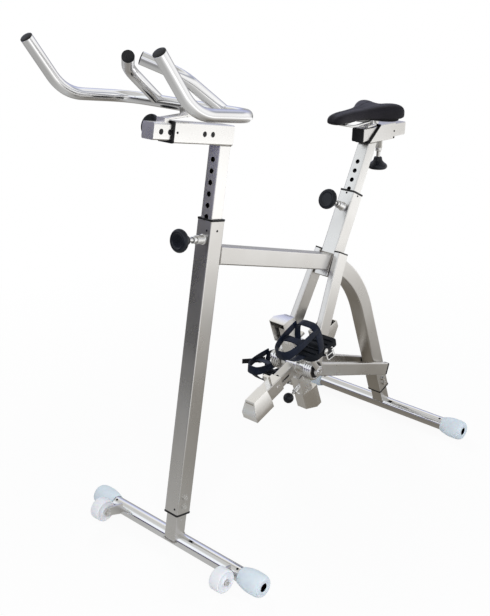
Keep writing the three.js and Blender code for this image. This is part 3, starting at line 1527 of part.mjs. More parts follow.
sides.forEach(([word, side]) => {
  const ends = barEnds(side);
  addPiece(`front_cap_${word}`, footCap(0, side), paleRubber);
  addPiece(`rear_cap_${word}`, footCap(rearFootX, side), paleRubber);
  addPiece(`transport_wheel_${word}`, transportWheel(side), whiteNylon);
  addPiece(`wheel_bolt_${word}`, wheelBolt(side), boltSteel);
  addPiece(`outer_horn_cap_${word}`, barEndCap(ends.outer), blackPlastic);
  addPiece(`inner_horn_cap_${word}`, barEndCap(ends.inner), blackPlastic);
  addPiece(`strut_${word}`, strut(side), satinSteel);
  addPiece(`strut_cap_${word}`, strutCap(side), blackPlastic);
  addPiece(`chain_stay_${word}`, chainStay(side), satinSteel);
  addPiece(`crank_${word}`, crank(side), polishedSteel);
  addPiece(`pedal_${word}`, pedal(side), blackPlastic);
  addPiece(`foot_strap_${word}`, footStrap(side), navyRubber);
});

const box = new THREE.Box3().setFromObject(bike);
const middle = box.getCenter(new THREE.Vector3());
bike.children.forEach((mesh) => mesh.position.sub(new THREE.Vector3(middle.x, 0, box.min.z)));

export default bike;
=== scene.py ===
# %% [markdown]
# An aqua bike, dressed for its portrait.
#
# The bike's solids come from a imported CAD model. This notebook never moves them. It gives
# every one a finish, and where a real piece is rounder or softer than its solid, it builds
# a finer piece in the same place and lets that stand for the solid.

# %% Load the frame
import math
import json
import bpy
import bmesh
from mathutils import Matrix, Vector

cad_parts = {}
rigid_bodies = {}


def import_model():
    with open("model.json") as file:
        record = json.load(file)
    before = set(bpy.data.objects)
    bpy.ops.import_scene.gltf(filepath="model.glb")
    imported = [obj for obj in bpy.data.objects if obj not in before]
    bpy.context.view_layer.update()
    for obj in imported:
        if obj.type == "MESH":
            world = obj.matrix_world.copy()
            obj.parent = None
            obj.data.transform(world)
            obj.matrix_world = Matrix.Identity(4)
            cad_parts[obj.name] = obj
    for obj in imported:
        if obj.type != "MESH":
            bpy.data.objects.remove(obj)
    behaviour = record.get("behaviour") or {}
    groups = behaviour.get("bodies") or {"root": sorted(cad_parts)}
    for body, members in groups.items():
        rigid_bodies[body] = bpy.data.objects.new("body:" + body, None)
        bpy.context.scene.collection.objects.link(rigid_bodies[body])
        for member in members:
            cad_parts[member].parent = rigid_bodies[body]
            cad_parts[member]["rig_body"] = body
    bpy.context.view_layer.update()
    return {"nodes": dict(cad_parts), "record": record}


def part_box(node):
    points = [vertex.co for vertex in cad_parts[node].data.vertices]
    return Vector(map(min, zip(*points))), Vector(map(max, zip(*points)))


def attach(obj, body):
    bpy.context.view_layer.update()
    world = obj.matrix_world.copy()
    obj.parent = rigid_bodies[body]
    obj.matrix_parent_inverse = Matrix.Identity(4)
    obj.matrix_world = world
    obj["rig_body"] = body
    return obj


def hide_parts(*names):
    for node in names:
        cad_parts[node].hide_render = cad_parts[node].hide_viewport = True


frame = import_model()
nodes = frame["nodes"]

# %% [markdown]
# The bike was measured in millimetres from the middle of its front foot bar. The frame's own
# origin is the middle of the whole footprint, in metres. The helper `at` turns the first into
# the second, so that every number below can be read as a tape measure would give it. The
# bike's front is towards -X and its left towards -Y.

# %% Bike millimetres to frame metres
front_low, front_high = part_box("front_cap_left")
FRONT_BAR_X = (front_low.x + front_high.x) / 2


def at(x, y, z):
    return Vector((x / 1000 + FRONT_BAR_X, y / 1000, z / 1000))


def mm(value):
    return value / 1000


def put_in_scene(name, data):
    thing = bpy.data.objects.new(name, data)
    bpy.context.scene.collection.objects.link(thing)
    return thing


print("front bar stands at x =", round(FRONT_BAR_X, 4))

# %% [markdown]
# The camera repeats the photograph: its place, its lean and its lens were solved from the
# bike's parallel foot bars and square tubes. Blender's camera looks down its own -Z, so the
# matrix columns are right, up and backwards. The photograph's centre isn't exactly the lens's
# centre, and the small shift takes that up.

# %% Camera
PHOTO_WIDTH, PHOTO_HEIGHT = 490, 616
LENS_PIXELS = 938.13
LENS_CENTRE = (239.74, 309.39)
AIM_TURN, AIM_RISE, AIM_ROLL = math.radians(-46.81), math.radians(23.81), math.radians(-1.99)
SENSOR = 36.0

back = Vector((
    math.sin(AIM_TURN) * math.cos(AIM_RISE),
    -math.cos(AIM_TURN) * math.cos(AIM_RISE),
    math.sin(AIM_RISE),
))
level = (-back).cross(Vector((0, 0, 1))).normalized()
above = level.cross(-back)
right = level * math.cos(AIM_ROLL) + above * math.sin(AIM_ROLL)
up = above * math.cos(AIM_ROLL) - level * math.sin(AIM_ROLL)

camera_data = bpy.data.cameras.new("photo_camera")
camera_data.sensor_fit = "HORIZONTAL"
camera_data.sensor_width = SENSOR
camera_data.lens = LENS_PIXELS * SENSOR / PHOTO_WIDTH
camera_data.shift_x = (PHOTO_WIDTH / 2 - LENS_CENTRE[0]) / PHOTO_WIDTH
camera_data.shift_y = (LENS_CENTRE[1] - PHOTO_HEIGHT / 2) / PHOTO_WIDTH
camera_data.clip_end = 50
camera = put_in_scene("photo_camera", camera_data)
eye = at(-1418.904, -1605.475, 1656.894)
camera.matrix_world = Matrix.Translation(eye) @ Matrix((
    (right.x, up.x, back.x, 0), (right.y, up.y, back.y, 0), (right.z, up.z, back.z, 0), (0, 0, 0, 1),
))
bpy.context.scene.camera = camera
bpy.context.scene.view_settings.view_transform = "Standard"
print("lens", round(camera_data.lens, 2), "mm, eye at", [round(v, 3) for v in eye])

# %% [markdown]
# Every finish, the floor and the room are trees of nodes. A few helpers build them from the
# inside out: each input of a new node takes either a plain value or the output of a node that
# was made before.

# %% Helpers for nodes
WHITE = (1, 1, 1, 1)


def feed(tree, socket, value):
    if isinstance(value, bpy.types.NodeSocket):
        tree.links.new(value, socket)
    else:
        socket.default_value = value


def node(tree, kind, inputs, **settings):
    made = tree.nodes.new(kind)
    for name, value in settings.items():
        setattr(made, name, value)
    for name, value in inputs.items():
        feed(tree, made.inputs[name], value)
    return made.outputs


def ramp(tree, stops, share):
    made = tree.nodes.new("ShaderNodeValToRGB")
    feed(tree, made.inputs["Fac"], share)
    elements = made.color_ramp.elements
    elements.remove(elements[-1])
    for index, (position, colour) in enumerate(stops):
        element = elements[0] if index == 0 else elements.new(position)
        element.position = position
        element.color = (*colour, 1) if isinstance(colour, tuple) else (colour, colour, colour, 1)
    return made.outputs["Color"]


def towards(tree, vector, axis):
    axis = Vector(axis).normalized()
    return node(tree, "ShaderNodeVectorMath", {0: vector, 1: axis}, operation="DOT_PRODUCT")["Value"]


def share_between(tree, value, low, high):
    return node(tree, "ShaderNodeMapRange", {"Value": value, "From Min": low, "From Max": high})["Result"]


def mixed(tree, share, first, second):
    colours = {"Factor": share, "A": first, "B": second}
    return node(tree, "ShaderNodeMix", colours, data_type="RGBA")["Result"]


def mixed_shader(tree, share, first, second):
    return node(tree, "ShaderNodeMixShader", {0: share, 1: first, 2: second})[0]


print("node helpers ready")

# %% [markdown]
# Polished steel shows whatever stands round it, so the room matters as much as the lamps.
# The camera sees plain white. Mirrors see three soft walls, each a ramp of tones from the
# floor up: a dim one ahead of the bike, a bright one behind its left and a bluish one behind
# its right. The dim wall has a thin blue window line at eye level, which draws the streaks
# along a polished tube. All of it follows the direction of the ray, never the camera.

# %% Room
BRIGHT_SIDE, BACK_SIDE = (0.7, -0.7, 0.1), (0.72, 0.68, 0.1)
DIM_WALL = [
    (0.0, 0.3), (0.35, 0.24), (0.43, 0.085), (0.54, (0.075, 0.073, 0.072)), (0.574, (0.095, 0.093, 0.09)),
    (0.584, (0.1, 0.09, 0.5)), (0.602, (0.25, 0.26, 0.85)), (0.61, (1.2, 1.14, 1.02)),
    (0.66, (1.1, 1.15, 1.22)), (0.77, (1.12, 1.17, 1.22)), (0.86, (0.7, 0.7, 0.68)), (1.0, 0.75),
]
BRIGHT_WALL = [
    (0.0, 0.6), (0.3, 0.9), (0.48, 1.15), (0.58, 1.2), (0.66, 0.95), (0.7, (0.42, 0.44, 0.5)),
    (0.74, (0.5, 0.52, 0.6)), (0.8, 1.1), (0.9, (0.5, 0.5, 0.48)), (1.0, 0.7),
]
BACK_WALL = [
    (0.0, 0.4), (0.48, 0.42), (0.58, (0.46, 0.47, 0.58)), (0.68, (0.55, 0.59, 0.88)),
    (0.76, (0.88, 0.93, 1.12)), (0.84, 1.1), (0.91, (0.95, 0.84, 0.6)), (1.0, 0.75),
]
SOFT_TONE, SOFT_STRENGTH = (0.93, 0.95, 1.0, 1), 0.5

world = bpy.data.worlds.new("studio_room")
bpy.context.scene.world = world
world.use_nodes = True
room = world.node_tree
room.nodes.clear()
direction = node(room, "ShaderNodeTexCoord", {})["Generated"]
height = share_between(room, towards(room, direction, (0, 0, 1)), -1.0, 1.0)
dim_wall, bright_wall, back_wall = (ramp(room, wall, height) for wall in (DIM_WALL, BRIGHT_WALL, BACK_WALL))
side_share = share_between(room, towards(room, direction, BRIGHT_SIDE), -0.45, 0.45)
back_share = share_between(room, towards(room, direction, BACK_SIDE), 0.55, 0.9)
walls = mixed(room, back_share, mixed(room, side_share, dim_wall, bright_wall), back_wall)
ray = node(room, "ShaderNodeLightPath", {})
soft_light = node(room, "ShaderNodeBackground", {"Color": SOFT_TONE, "Strength": SOFT_STRENGTH})[0]
seen_in_steel = node(room, "ShaderNodeBackground", {"Color": walls})[0]
seen_by_camera = node(room, "ShaderNodeBackground", {"Color": WHITE})[0]
not_camera = mixed_shader(room, ray["Is Glossy Ray"], soft_light, seen_in_steel)
whole_room = mixed_shader(room, ray["Is Camera Ray"], not_camera, seen_by_camera)
node(room, "ShaderNodeOutputWorld", {"Surface": whole_room})
print("room nodes:", len(room.nodes))

# %% [markdown]
# Three soft lamps: a large one high on the left gives the shapes their light side, a weaker
# one fills from the right, and a small one behind edges the tubes. They stay at a plain level,
# so that a colour comes out about as it is written. Mirrors don't see them: a lamp's own image
# would burn a white patch into every polished tube, and the room above already lights those.

# %% Lamps


def soft_lamp(name, place, target, size, watts, colour):
    data = bpy.data.lights.new(name, "AREA")
    data.shape = "RECTANGLE"
    data.size, data.size_y = size
    data.energy = watts
    data.color = colour
    lamp = put_in_scene(name, data)
    lamp.location = place
    lamp.rotation_euler = (Vector(target) - Vector(place)).to_track_quat("-Z", "Y").to_euler()
    lamp.visible_glossy = False
    return lamp


lamps = [
    soft_lamp("key_lamp", (-2.6, -2.2, 3.0), (0, 0, 0.6), (2.2, 1.6), 95, (1.0, 0.985, 0.96)),
    soft_lamp("fill_lamp", (1.6, -3.2, 1.6), (0, 0, 0.6), (2.0, 2.0), 26, (0.95, 0.975, 1.0)),
    soft_lamp("edge_lamp", (1.8, 2.6, 2.6), (0, 0, 0.8), (1.4, 1.4), 40, (1.0, 1.0, 1.0)),
]
print("lamps:", [lamp.name for lamp in lamps])

# %% [markdown]
# The floor is a plain pale sheet. Seen straight by the camera it is mostly its own light, so
# it melts into the white round it and keeps the bike's faint shadow. Mirrors see painted
# tones on it instead: a painted shade close by, where the bike stands in its own shade, and
# painted light, paler further out on the bright side.

# %% Floor
FLOOR_REACH, FLOOR_SIDES, FLOOR_DROP = 3.4, 64, 0.0004
floor_turns = [2 * math.pi * step / FLOOR_SIDES for step in range(FLOOR_SIDES)]
floor_mesh = bpy.data.meshes.new("pale_floor")
floor_mesh.from_pydata(
    [(FLOOR_REACH * math.cos(turn), FLOOR_REACH * math.sin(turn), 0) for turn in floor_turns],
    [], [tuple(range(FLOOR_SIDES))],
)
floor = put_in_scene("pale_floor", floor_mesh)
floor.location.z = -FLOOR_DROP
floor_look = bpy.data.materials.new("pale_floor")
floor_look.use_nodes = True
tree = floor_look.node_tree
tree.nodes.clear()
spot = node(tree, "ShaderNodeTexCoord", {})["Object"]
distance = node(tree, "ShaderNodeVectorMath", {0: spot}, operation="LENGTH")["Value"]
ahead = share_between(tree, towards(tree, spot, (-1, 0, 0)), -0.3, 0.5)
# painted shade of the bike's own shade on the floor, as mirrors see it
near_painted_shade = ramp(tree, [(0.0, (0.2, 0.18, 0.15)), (1.0, (0.55, 0.55, 0.54))], ahead)
bright_share = share_between(tree, towards(tree, spot, BRIGHT_SIDE), -0.5, 1.2)
far_painted_light = ramp(tree, [(0.0, 0.42), (1.0, 1.45)], bright_share)
outwards = share_between(tree, distance, 0.4, 2.4)
near_to_far = ramp(tree, [(0.0, 0.0), (0.27, 0.2), (0.65, 0.45), (0.95, 1.0)], outwards)
edge_fade = ramp(tree, [(0.0, 0.92), (0.55, 1.0)], share_between(tree, distance, 0.6, 3.2))
ray = node(tree, "ShaderNodeLightPath", {})
matt = node(tree, "ShaderNodeBsdfDiffuse", {"Color": (0.8, 0.8, 0.8, 1)})[0]
veil = node(tree, "ShaderNodeEmission", {"Color": WHITE})[0]
# what mirrors see of the floor glows: painted shade near the bike, painted light further out
painted_floor_reflection = node(tree, "ShaderNodeEmission", {"Color": mixed(tree, near_to_far, near_painted_shade, far_painted_light)})[0]
veil_share = node(tree, "ShaderNodeMath", {0: ray["Is Camera Ray"], 1: edge_fade}, operation="MULTIPLY")[0]
seen_straight = mixed_shader(tree, veil_share, matt, veil)
whole_floor = mixed_shader(tree, ray["Is Glossy Ray"], seen_straight, painted_floor_reflection)
node(tree, "ShaderNodeOutputMaterial", {"Surface": whole_floor})
floor_mesh.materials.append(floor_look)
print("floor laid, reach", FLOOR_REACH, "m")

# %% [markdown]
# Finishes come next, each on a Principled shader. Noise in the object's own coordinates moves
# the colour, the roughness and a fine bump a little, because real surfaces are never even.
# Values that are the same all over stay on the shader itself.
#
# A finish is told by its tones (scale and detail of the noise, a dark and a pale colour), its
# gloss (scale, detail and roughness of the noise, then the lowest and highest roughness of the
# face) and its grain (scale and detail of the noise, then strength and depth of the bump).

# %% Helpers for finishes
NOISE_LOW, NOISE_HIGH = 0.3, 0.7
TONE_LOW, TONE_HIGH = 0.35, 0.65
finishes = {}


def noise(tree, scale, detail, rough=0.5):
    spot = node(tree, "ShaderNodeTexCoord", {})["Object"]
    levels = {"Vector": spot, "Scale": scale, "Detail": detail, "Roughness": rough}
    return node(tree, "ShaderNodeTexNoise", levels)["Fac"]


def bump(tree, height, strength, depth, **under):
    levels = {"Height": height, "Strength": strength, "Distance": depth, **under}
    return node(tree, "ShaderNodeBump", levels)["Normal"]


def new_finish(name, colour, roughness, tones, gloss=None, grain=None, metallic=0.0, **sockets):
    look = finishes[name] = bpy.data.materials.new(name)
    look.use_nodes = True
    tree = look.node_tree
    shader = tree.nodes["Principled BSDF"].inputs
    plain = {"Base_Color": (*colour, 1), "Roughness": roughness, "Metallic": metallic, **sockets}
    for socket, value in plain.items():
        shader[socket.replace("_", " ")].default_value = value
    scale, detail, dark, pale = tones
    mottled = ramp(tree, [(TONE_LOW, dark), (TONE_HIGH, pale)], noise(tree, scale, detail))
    feed(tree, shader["Base Color"], mottled)
    if gloss:
        *texture, low, high = gloss
        levels = {"From Min": NOISE_LOW, "From Max": NOISE_HIGH, "To Min": low, "To Max": high}
        worn = node(tree, "ShaderNodeMapRange", {"Value": noise(tree, *texture), **levels})["Result"]
        feed(tree, shader["Roughness"], worn)
    if grain:
        scale, detail, strength, depth = grain
        feed(tree, shader["Normal"], bump(tree, noise(tree, scale, detail), strength, depth))
    return tree, shader


print("finish helpers ready")

# %% [markdown]
# The frame is stainless steel with a satin, faintly warm face. It isn't a mirror: its fine
# blasted skin spreads the highlights, and handling leaves soft patches that shine a bit more.
# The handlebar's post and slider and the blades have a brighter face. The handlebar and the
# foot bars are polished until they mirror the room, a little unevenly. Bolts are brushed, and
# weld beads stay darker and rougher than all the rest.

# %% Steels
SATIN_GRAIN = (900.0, 2.0, 0.03, 0.0001)
STEELS = {
    "satin_steel": (
        (0.67, 0.655, 0.63), 0.34, (3.0, 3.0, (0.63, 0.612, 0.585), (0.72, 0.71, 0.69)),
        (7.0, 5.0, 0.55, 0.24, 0.34), SATIN_GRAIN,
    ),
    "bright_steel": (
        (0.88, 0.865, 0.84), 0.3, (3.0, 3.0, (0.85, 0.835, 0.81), (0.92, 0.91, 0.89)),
        (7.0, 5.0, 0.55, 0.22, 0.32), SATIN_GRAIN,
    ),
    "polished_steel": (
        (0.78, 0.78, 0.785), 0.09, (5.0, 2.0, (0.74, 0.735, 0.73), (0.82, 0.82, 0.825)),
        (9.0, 2.0, 0.5, 0.09, 0.13),
    ),
    "bolt_steel": (
        (0.78, 0.78, 0.77), 0.2, (30.0, 3.0, (0.66, 0.65, 0.63), (0.86, 0.86, 0.85)),
        (60.0, 5.0, 0.5, 0.12, 0.3), (700.0, 2.0, 0.12, 0.0003),
    ),
    "weld_steel": (
        (0.42, 0.4, 0.37), 0.4, (70.0, 3.0, (0.34, 0.31, 0.28), (0.52, 0.51, 0.49)),
        (120.0, 5.0, 0.5, 0.36, 0.54), (500.0, 3.0, 0.2, 0.0003),
    ),
}
for name, looks in STEELS.items():
    new_finish(name, *looks, metallic=1.0)
print(list(finishes))

# %% [markdown]
# Black plastics differ in grain: the sleeve bushes are turned nylon, the knobs are moulded
# and handled smooth, and the pedals have a coarser, scuffed skin.

# %% Black plastics


def moulded_plastic(name, dark, pale, low, high, grain, strength, shine=0.28):
    new_finish(
        name, dark, (low + high) / 2, (28.0, 5.0, dark, pale), (45.0, 6.0, 0.6, low, high),
        (grain, 2.0, strength, 0.0003), Specular_IOR_Level=shine,
    )


moulded_plastic("black_plastic", (0.004, 0.004, 0.005), (0.011, 0.011, 0.012), 0.36, 0.52, 900.0, 0.14)
moulded_plastic("knob_plastic", (0.003, 0.004, 0.006), (0.009, 0.011, 0.016), 0.22, 0.36, 700.0, 0.08)
moulded_plastic("pedal_plastic", (0.002, 0.003, 0.005), (0.006, 0.008, 0.012), 0.42, 0.6, 500.0, 0.22, 0.16)
print([name for name in finishes if "plastic" in name])

# %% [markdown]
# The foot caps are soft pale rubber, a cool blue-white and dull. The rolling feet are white
# nylon, turned and a little brighter.

# %% Pale rubber and white nylon
new_finish(
    "cap_rubber", (0.66, 0.74, 0.8), 0.55, (40.0, 5.0, (0.64, 0.72, 0.78), (0.68, 0.76, 0.82)),
    (30.0, 5.0, 0.5, 0.42, 0.62), (350.0, 3.0, 0.12, 0.0004), Subsurface_Weight=0.08, Subsurface_Scale=0.01,
)
new_finish(
    "wheel_nylon", (0.78, 0.8, 0.83), 0.4, (35.0, 5.0, (0.78, 0.8, 0.84), (0.81, 0.83, 0.87)),
    (50.0, 5.0, 0.5, 0.32, 0.52), (300.0, 3.0, 0.1, 0.0003), Subsurface_Weight=0.1, Subsurface_Scale=0.01,
)
print("cap_rubber, wheel_nylon")

# %% [markdown]
# The straps are navy rubber, moulded with a slight shine. The saddle is a soft imitation
# leather with a faint violet sheen at a low angle. Its bump has two layers: wide soft creases,
# and over them the fine pebbles that a smooth Voronoi texture gives.

# %% Strap rubber and saddle leather
new_finish(
    "strap_rubber", (0.006, 0.012, 0.036), 0.42, (40.0, 4.0, (0.001, 0.004, 0.012), (0.004, 0.008, 0.022)),
    (60.0, 5.0, 0.5, 0.32, 0.52), (400.0, 3.0, 0.12, 0.0003),
    Sheen_Weight=0.03, Sheen_Roughness=0.5, Specular_IOR_Level=0.2,
)
tree, shader = new_finish(
    "saddle_leather", (0.007, 0.006, 0.009), 0.48,
    (24.0, 5.0, (0.005, 0.0045, 0.007), (0.011, 0.0095, 0.014)), (18.0, 4.0, 0.5, 0.42, 0.58),
    Sheen_Weight=0.05, Sheen_Roughness=0.4, Sheen_Tint=(0.75, 0.68, 0.8, 1), Specular_IOR_Level=0.19,
)
spot = node(tree, "ShaderNodeTexCoord", {})["Object"]
pebbles = node(tree, "ShaderNodeTexVoronoi", {"Vector": spot, "Scale": 620.0}, feature="SMOOTH_F1")
creases = bump(tree, noise(tree, 55.0, 4.0), 0.18, 0.0012)
feed(tree, shader["Normal"], bump(tree, pebbles["Distance"], 0.35, 0.0004, Normal=creases))
new_finish("thread", (0.02, 0.019, 0.023), 0.6, (900.0, 2.0, (0.012, 0.011, 0.014), (0.03, 0.028, 0.034)))
print(sorted(finishes))

# %% [markdown]
# Every solid starts with the finish that the record names for it. A narrow bevel with
# smoothed shading stands in for the small radius that any sawn or moulded edge has, and it
# is what makes an edge catch the light.

# %% Dress the solids


def soften(piece, width, angle=32):
    edge = piece.modifiers.new("edge", "BEVEL")
    edge.width = width
    edge.segments = 2
    edge.limit_method = "ANGLE"
    edge.angle_limit = math.radians(angle)
    edge.harden_normals = True
    edge.miter_outer = "MITER_ARC"


for entry in frame["record"]["subparts"]:
    solid = nodes[entry["node"]]
    solid.data.materials.clear()
    solid.data.materials.append(finishes[entry["material_slot"]])

# %% [markdown]
# A new piece is always made in the same way. Its mesh gets a finish and smooth shading that
# keeps sharp edges, and it is told the body that it rides on and the solids that it stands
# for. Most meshes are stacks of rings with equally many corners, joined by faces.

# %% Helpers for pieces


def add_piece(name, mesh, finish, body, slot=None, stands_for=(), smooth_angle=38):
    mesh.materials.clear()
    mesh.materials.append(finishes[finish])
    piece = put_in_scene(name, mesh)
    mesh.shade_smooth()
    mesh.set_sharp_from_angle(angle=math.radians(smooth_angle))
    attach(piece, body)
    if stands_for:
        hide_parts(*stands_for)
    return piece


def mesh_from(name, corners, faces):
    mesh = bpy.data.meshes.new(name)
    mesh.from_pydata([tuple(corner) for corner in corners], [], faces)
    shape = bmesh.new()
    shape.from_mesh(mesh)
    bmesh.ops.remove_doubles(shape, verts=shape.verts, dist=1e-6)
    bmesh.ops.recalc_face_normals(shape, faces=shape.faces)
    shape.to_mesh(mesh)
    shape.free()
    return mesh


def rings_to_mesh(name, rings, close_loop=False):
    corners = [corner for ring in rings for corner in ring]
    count = len(rings[0])
    faces = []
    spans = len(rings) if close_loop else len(rings) - 1
    for span in range(spans):
        low, high = span * count, (span + 1) % len(rings) * count
        for step in range(count):
            after = (step + 1) % count
            faces.append((low + step, low + after, high + after, high + step))
    if not close_loop:
        faces.append(tuple(range(count))[::-1])
        faces.append(tuple(spans * count + step for step in range(count)))
    return mesh_from(name, corners, faces)


print("piece helpers ready")

# %% [markdown]
# Round pieces get finer meshes than the solids have. Two ways of making a mesh cover nearly
# all of them: sweeping a round section along a path, and turning a profile round an axis, as
# on a lathe. A profile is a row of radius and height, in millimetres.

# %% Tubes and turned pieces
ROUND = 48


def axes_for(direction, hint=Vector((0, 0, 1))):
    forward = direction.normalized()
    if abs(forward.dot(hint)) > 0.98:
        hint = Vector((1, 0, 0))
    side = forward.cross(hint).normalized()
    return side, side.cross(forward)


def rounded_path(points, trims, steps=14):
    path = [points[0]]
    for index in range(1, len(points) - 1):
        corner, trim = points[index], trims[index - 1]
        before = corner + (points[index - 1] - corner).normalized() * trim
        after = corner + (points[index + 1] - corner).normalized() * trim
        for step in range(steps + 1):
            share = step / steps
            path.append(before * (1 - share) ** 2 + corner * (2 * share * (1 - share)) + after * share ** 2)
    path.append(points[-1])
    return path


def runs_along(places, closed=False):
    last = len(places) - 1
    if closed:
        pairs = [(places[index - 1], places[(index + 1) % len(places)]) for index in range(last + 1)]
    else:
        pairs = [(places[max(index - 1, 0)], places[min(index + 1, last)]) for index in range(last + 1)]
    return [(after - before).normalized() for before, after in pairs]


def round_ring(centre, side, over, radius, around):
    turns = [2 * math.pi * step / around for step in range(around)]
    return [centre + (side * math.cos(turn) + over * math.sin(turn)) * radius for turn in turns]


def swept_tube(name, path, radius, around=ROUND, bore=None, bore_depth=mm(12), edge=mm(0.5)):
    runs = runs_along(path)
    side = axes_for(runs[0])[0]
    frames = []
    for run in runs:
        side = (side - run * side.dot(run)).normalized()
        frames.append((side, run.cross(side)))

    def ring(index, size, push=0.0):
        return round_ring(path[index] + runs[index] * push, *frames[index], size, around)

    rings = [ring(index, radius) for index in range(len(path))]
    if bore is not None:
        rings[0], rings[-1] = ring(0, radius, edge), ring(-1, radius, -edge)
        rings = [ring(0, bore, bore_depth), ring(0, bore), ring(0, radius - edge)] + rings
        rings += [ring(-1, radius - edge), ring(-1, bore), ring(-1, bore, -bore_depth)]
    return rings_to_mesh(name, rings)


def turned_mesh(name, profile, origin, direction, around=ROUND):
    axes = axes_for(direction)
    forward = direction.normalized()
    rings = [
        round_ring(origin + forward * mm(high), *axes, max(mm(wide), 1e-6), around)
        for wide, high in profile
    ]
    closed = profile[0][0] > 0 and profile[0] == profile[-1]
    return rings_to_mesh(name, rings[:-1] if closed else rings, close_loop=closed)


def turned_piece(name, profile, origin, direction, finish, body, around=ROUND, **dress):
    return add_piece(name, turned_mesh(name, profile, origin, direction, around), finish, body, **dress)


print("a round section has", ROUND, "corners")

# %% [markdown]
# Three more helpers: one raises a number to a power and keeps its sign, one draws a smooth
# curve through a few points, and one joins meshes that belong to the same piece.

# %% Curves and joined meshes


def signed_power(value, power):
    return math.copysign(abs(value) ** power, value)


def curved_profile(points, steps=4):
    smooth = [points[0]]
    for index in range(len(points) - 1):
        earlier = points[max(index - 1, 0)]
        first, second = points[index], points[index + 1]
        later = points[min(index + 2, len(points) - 1)]
        for step in range(1, steps + 1):
            t = step / steps
            smooth.append(tuple(
                0.5 * (
                    2 * b + (c - a) * t + (2 * a - 5 * b + 4 * c - d) * t ** 2
                    + (3 * b - a - 3 * c + d) * t ** 3
                )
                for a, b, c, d in zip(earlier, first, second, later)
            ))
    return smooth


def joined(name, *meshes):
    shape = bmesh.new()
    for mesh in meshes:
        shape.from_mesh(mesh)
    whole = bpy.data.meshes.new(name)
    shape.to_mesh(whole)
    shape.free()
    for mesh in meshes:
        bpy.data.meshes.remove(mesh)
    return whole


print("curve helpers ready")

# %% [markdown]
# The handlebar is one long polished tube bent at four places, with two shorter horns welded
# to its back. Each bend starts a little before its corner, so the path is straight runs joined
# by short curves, and a fine ring every few degrees keeps the mirror finish free of facets.

# %% Handlebar
BAR_RADIUS, BAR_WALL = mm(15), mm(2.5)
HALF_BAR = [(-144.5, 217.8, 1380.9), (-57.8, 217.9, 1243.2), (140.7, 211.5, 1202.8)]
INNER_HORN = [(-18.7, 22, 1337.5), (36.6, 90, 1298), (141.5, 109, 1205.5)]


def sided(place, side):
    return at(place[0], side * place[1], place[2])


def bent_bar(corners, trims, steps):
    path = rounded_path(corners, [mm(trim) for trim in trims], steps)
    return swept_tube("bent_bar", path, BAR_RADIUS, bore=BAR_RADIUS - BAR_WALL)


corners = [sided(place, -1) for place in HALF_BAR] + [sided(place, 1) for place in reversed(HALF_BAR)]
bars = [bent_bar(corners, [55, 62, 62, 55], 20)]
for side in (-1, 1):
    bars.append(bent_bar([sided(place, side) for place in reversed(INNER_HORN)], [34], 16))
handlebar_mesh = joined("handlebar_tubes", *bars)
add_piece(
    "handlebar_tubes", handlebar_mesh, "polished_steel", "handlebar_carriage", stands_for=["handlebar"],
)
print("handlebar vertices:", len(handlebar_mesh.vertices))

# %% [markdown]
# A domed black plug closes each horn. Its flange sits on the tube's end and covers it to
# its very edge.

# %% Horn plugs
SIDES = ((-1, "left"), (1, "right"))
PLUG_PROFILE = [
    (0, -9), (12.2, -9), (12.2, 0.05), (14.9, 0.1), (14.8, 0.9), (13.4, 1.9), (10.5, 2.5), (6, 2.95),
    (0, 3.1),
]
for side, word in SIDES:
    for horn, (tip, corner, _) in (("outer", HALF_BAR), ("inner", INNER_HORN)):
        end = sided(tip, side)
        turned_piece(
            f"{horn}_plug_{word}", PLUG_PROFILE, end, end - sided(corner, side), "black_plastic",
            "handlebar_carriage", stands_for=[f"{horn}_horn_cap_{word}"],
        )
print("four horn plugs")

# %% [markdown]
# The bike's frame is made of square tubes. A leaning tube has three axes: along it, across it
# in the bike's middle plane, and sideways. A ring on the last two is a square with rounded
# corners, and a tube is two such rings, or four where its wall is drawn too.

# %% Square tubes
FRONT_LEAN, ARCH_LEAN = math.radians(13.2), math.radians(18.5)


def leaning_axes(lean, leans_back):
    along = Vector((math.sin(lean) * leans_back, 0, math.cos(lean)))
    across = Vector((math.cos(lean), 0, -math.sin(lean) * leans_back))
    return along, across


def square_ring(centre, across, sideways, half, corner, wide=None, steps=4):
    wide = half if wide is None else wide
    ring = []
    for quarter, (sx, sy) in enumerate(((1, 1), (-1, 1), (-1, -1), (1, -1))):
        for step in range(steps + 1):
            turn = math.pi / 2 * (quarter + step / steps)
            x = sx * (half - corner) + corner * math.cos(turn)
            y = sy * (wide - corner) + corner * math.sin(turn)
            ring.append(centre + across * x + sideways * y)
    return ring


def square_bar(name, start, end, across, half, corner, wide=None, wall=None):
    wide = wide or half
    sideways = (end - start).normalized().cross(across).normalized()
    rings = [square_ring(place, across, sideways, half, corner, wide) for place in (start, end)]
    if wall is None:
        return rings_to_mesh(name, rings)
    inner = half - wall, max(corner - wall, corner * 0.3), wide - wall
    rings += [square_ring(place, across, sideways, *inner) for place in (end, start)]
    return rings_to_mesh(name, rings, close_loop=True)


print("front lean", round(math.degrees(FRONT_LEAN), 1), "arch lean", round(math.degrees(ARCH_LEAN), 1))

# %% [markdown]
# Each foot bar is a straight polished tube, and the square stub that carries the frame stands
# on it. The stub is sawn to the tube's curve and welded round its foot. The weld comes later,
# with the others.

# %% Foot bars
FOOT_RADIUS, FOOT_HEIGHT, FOOT_HALF, FOOT_WALL = 21, 31, 296, 2.5
REAR_BAR_X = 991.5
STUB_HALF, STUB_CORNER, STUB_WALL = mm(20), mm(4), mm(2.5)


def foot_bar(name, x, node_name):
    start, end = at(x, -FOOT_HALF, FOOT_HEIGHT), at(x, FOOT_HALF, FOOT_HEIGHT)
    path = [start, start.lerp(end, 0.5), end]
    mesh = swept_tube(name, path, mm(FOOT_RADIUS), bore=mm(FOOT_RADIUS - FOOT_WALL), bore_depth=mm(30))
    add_piece(name, mesh, "polished_steel", "frame", stands_for=[node_name])


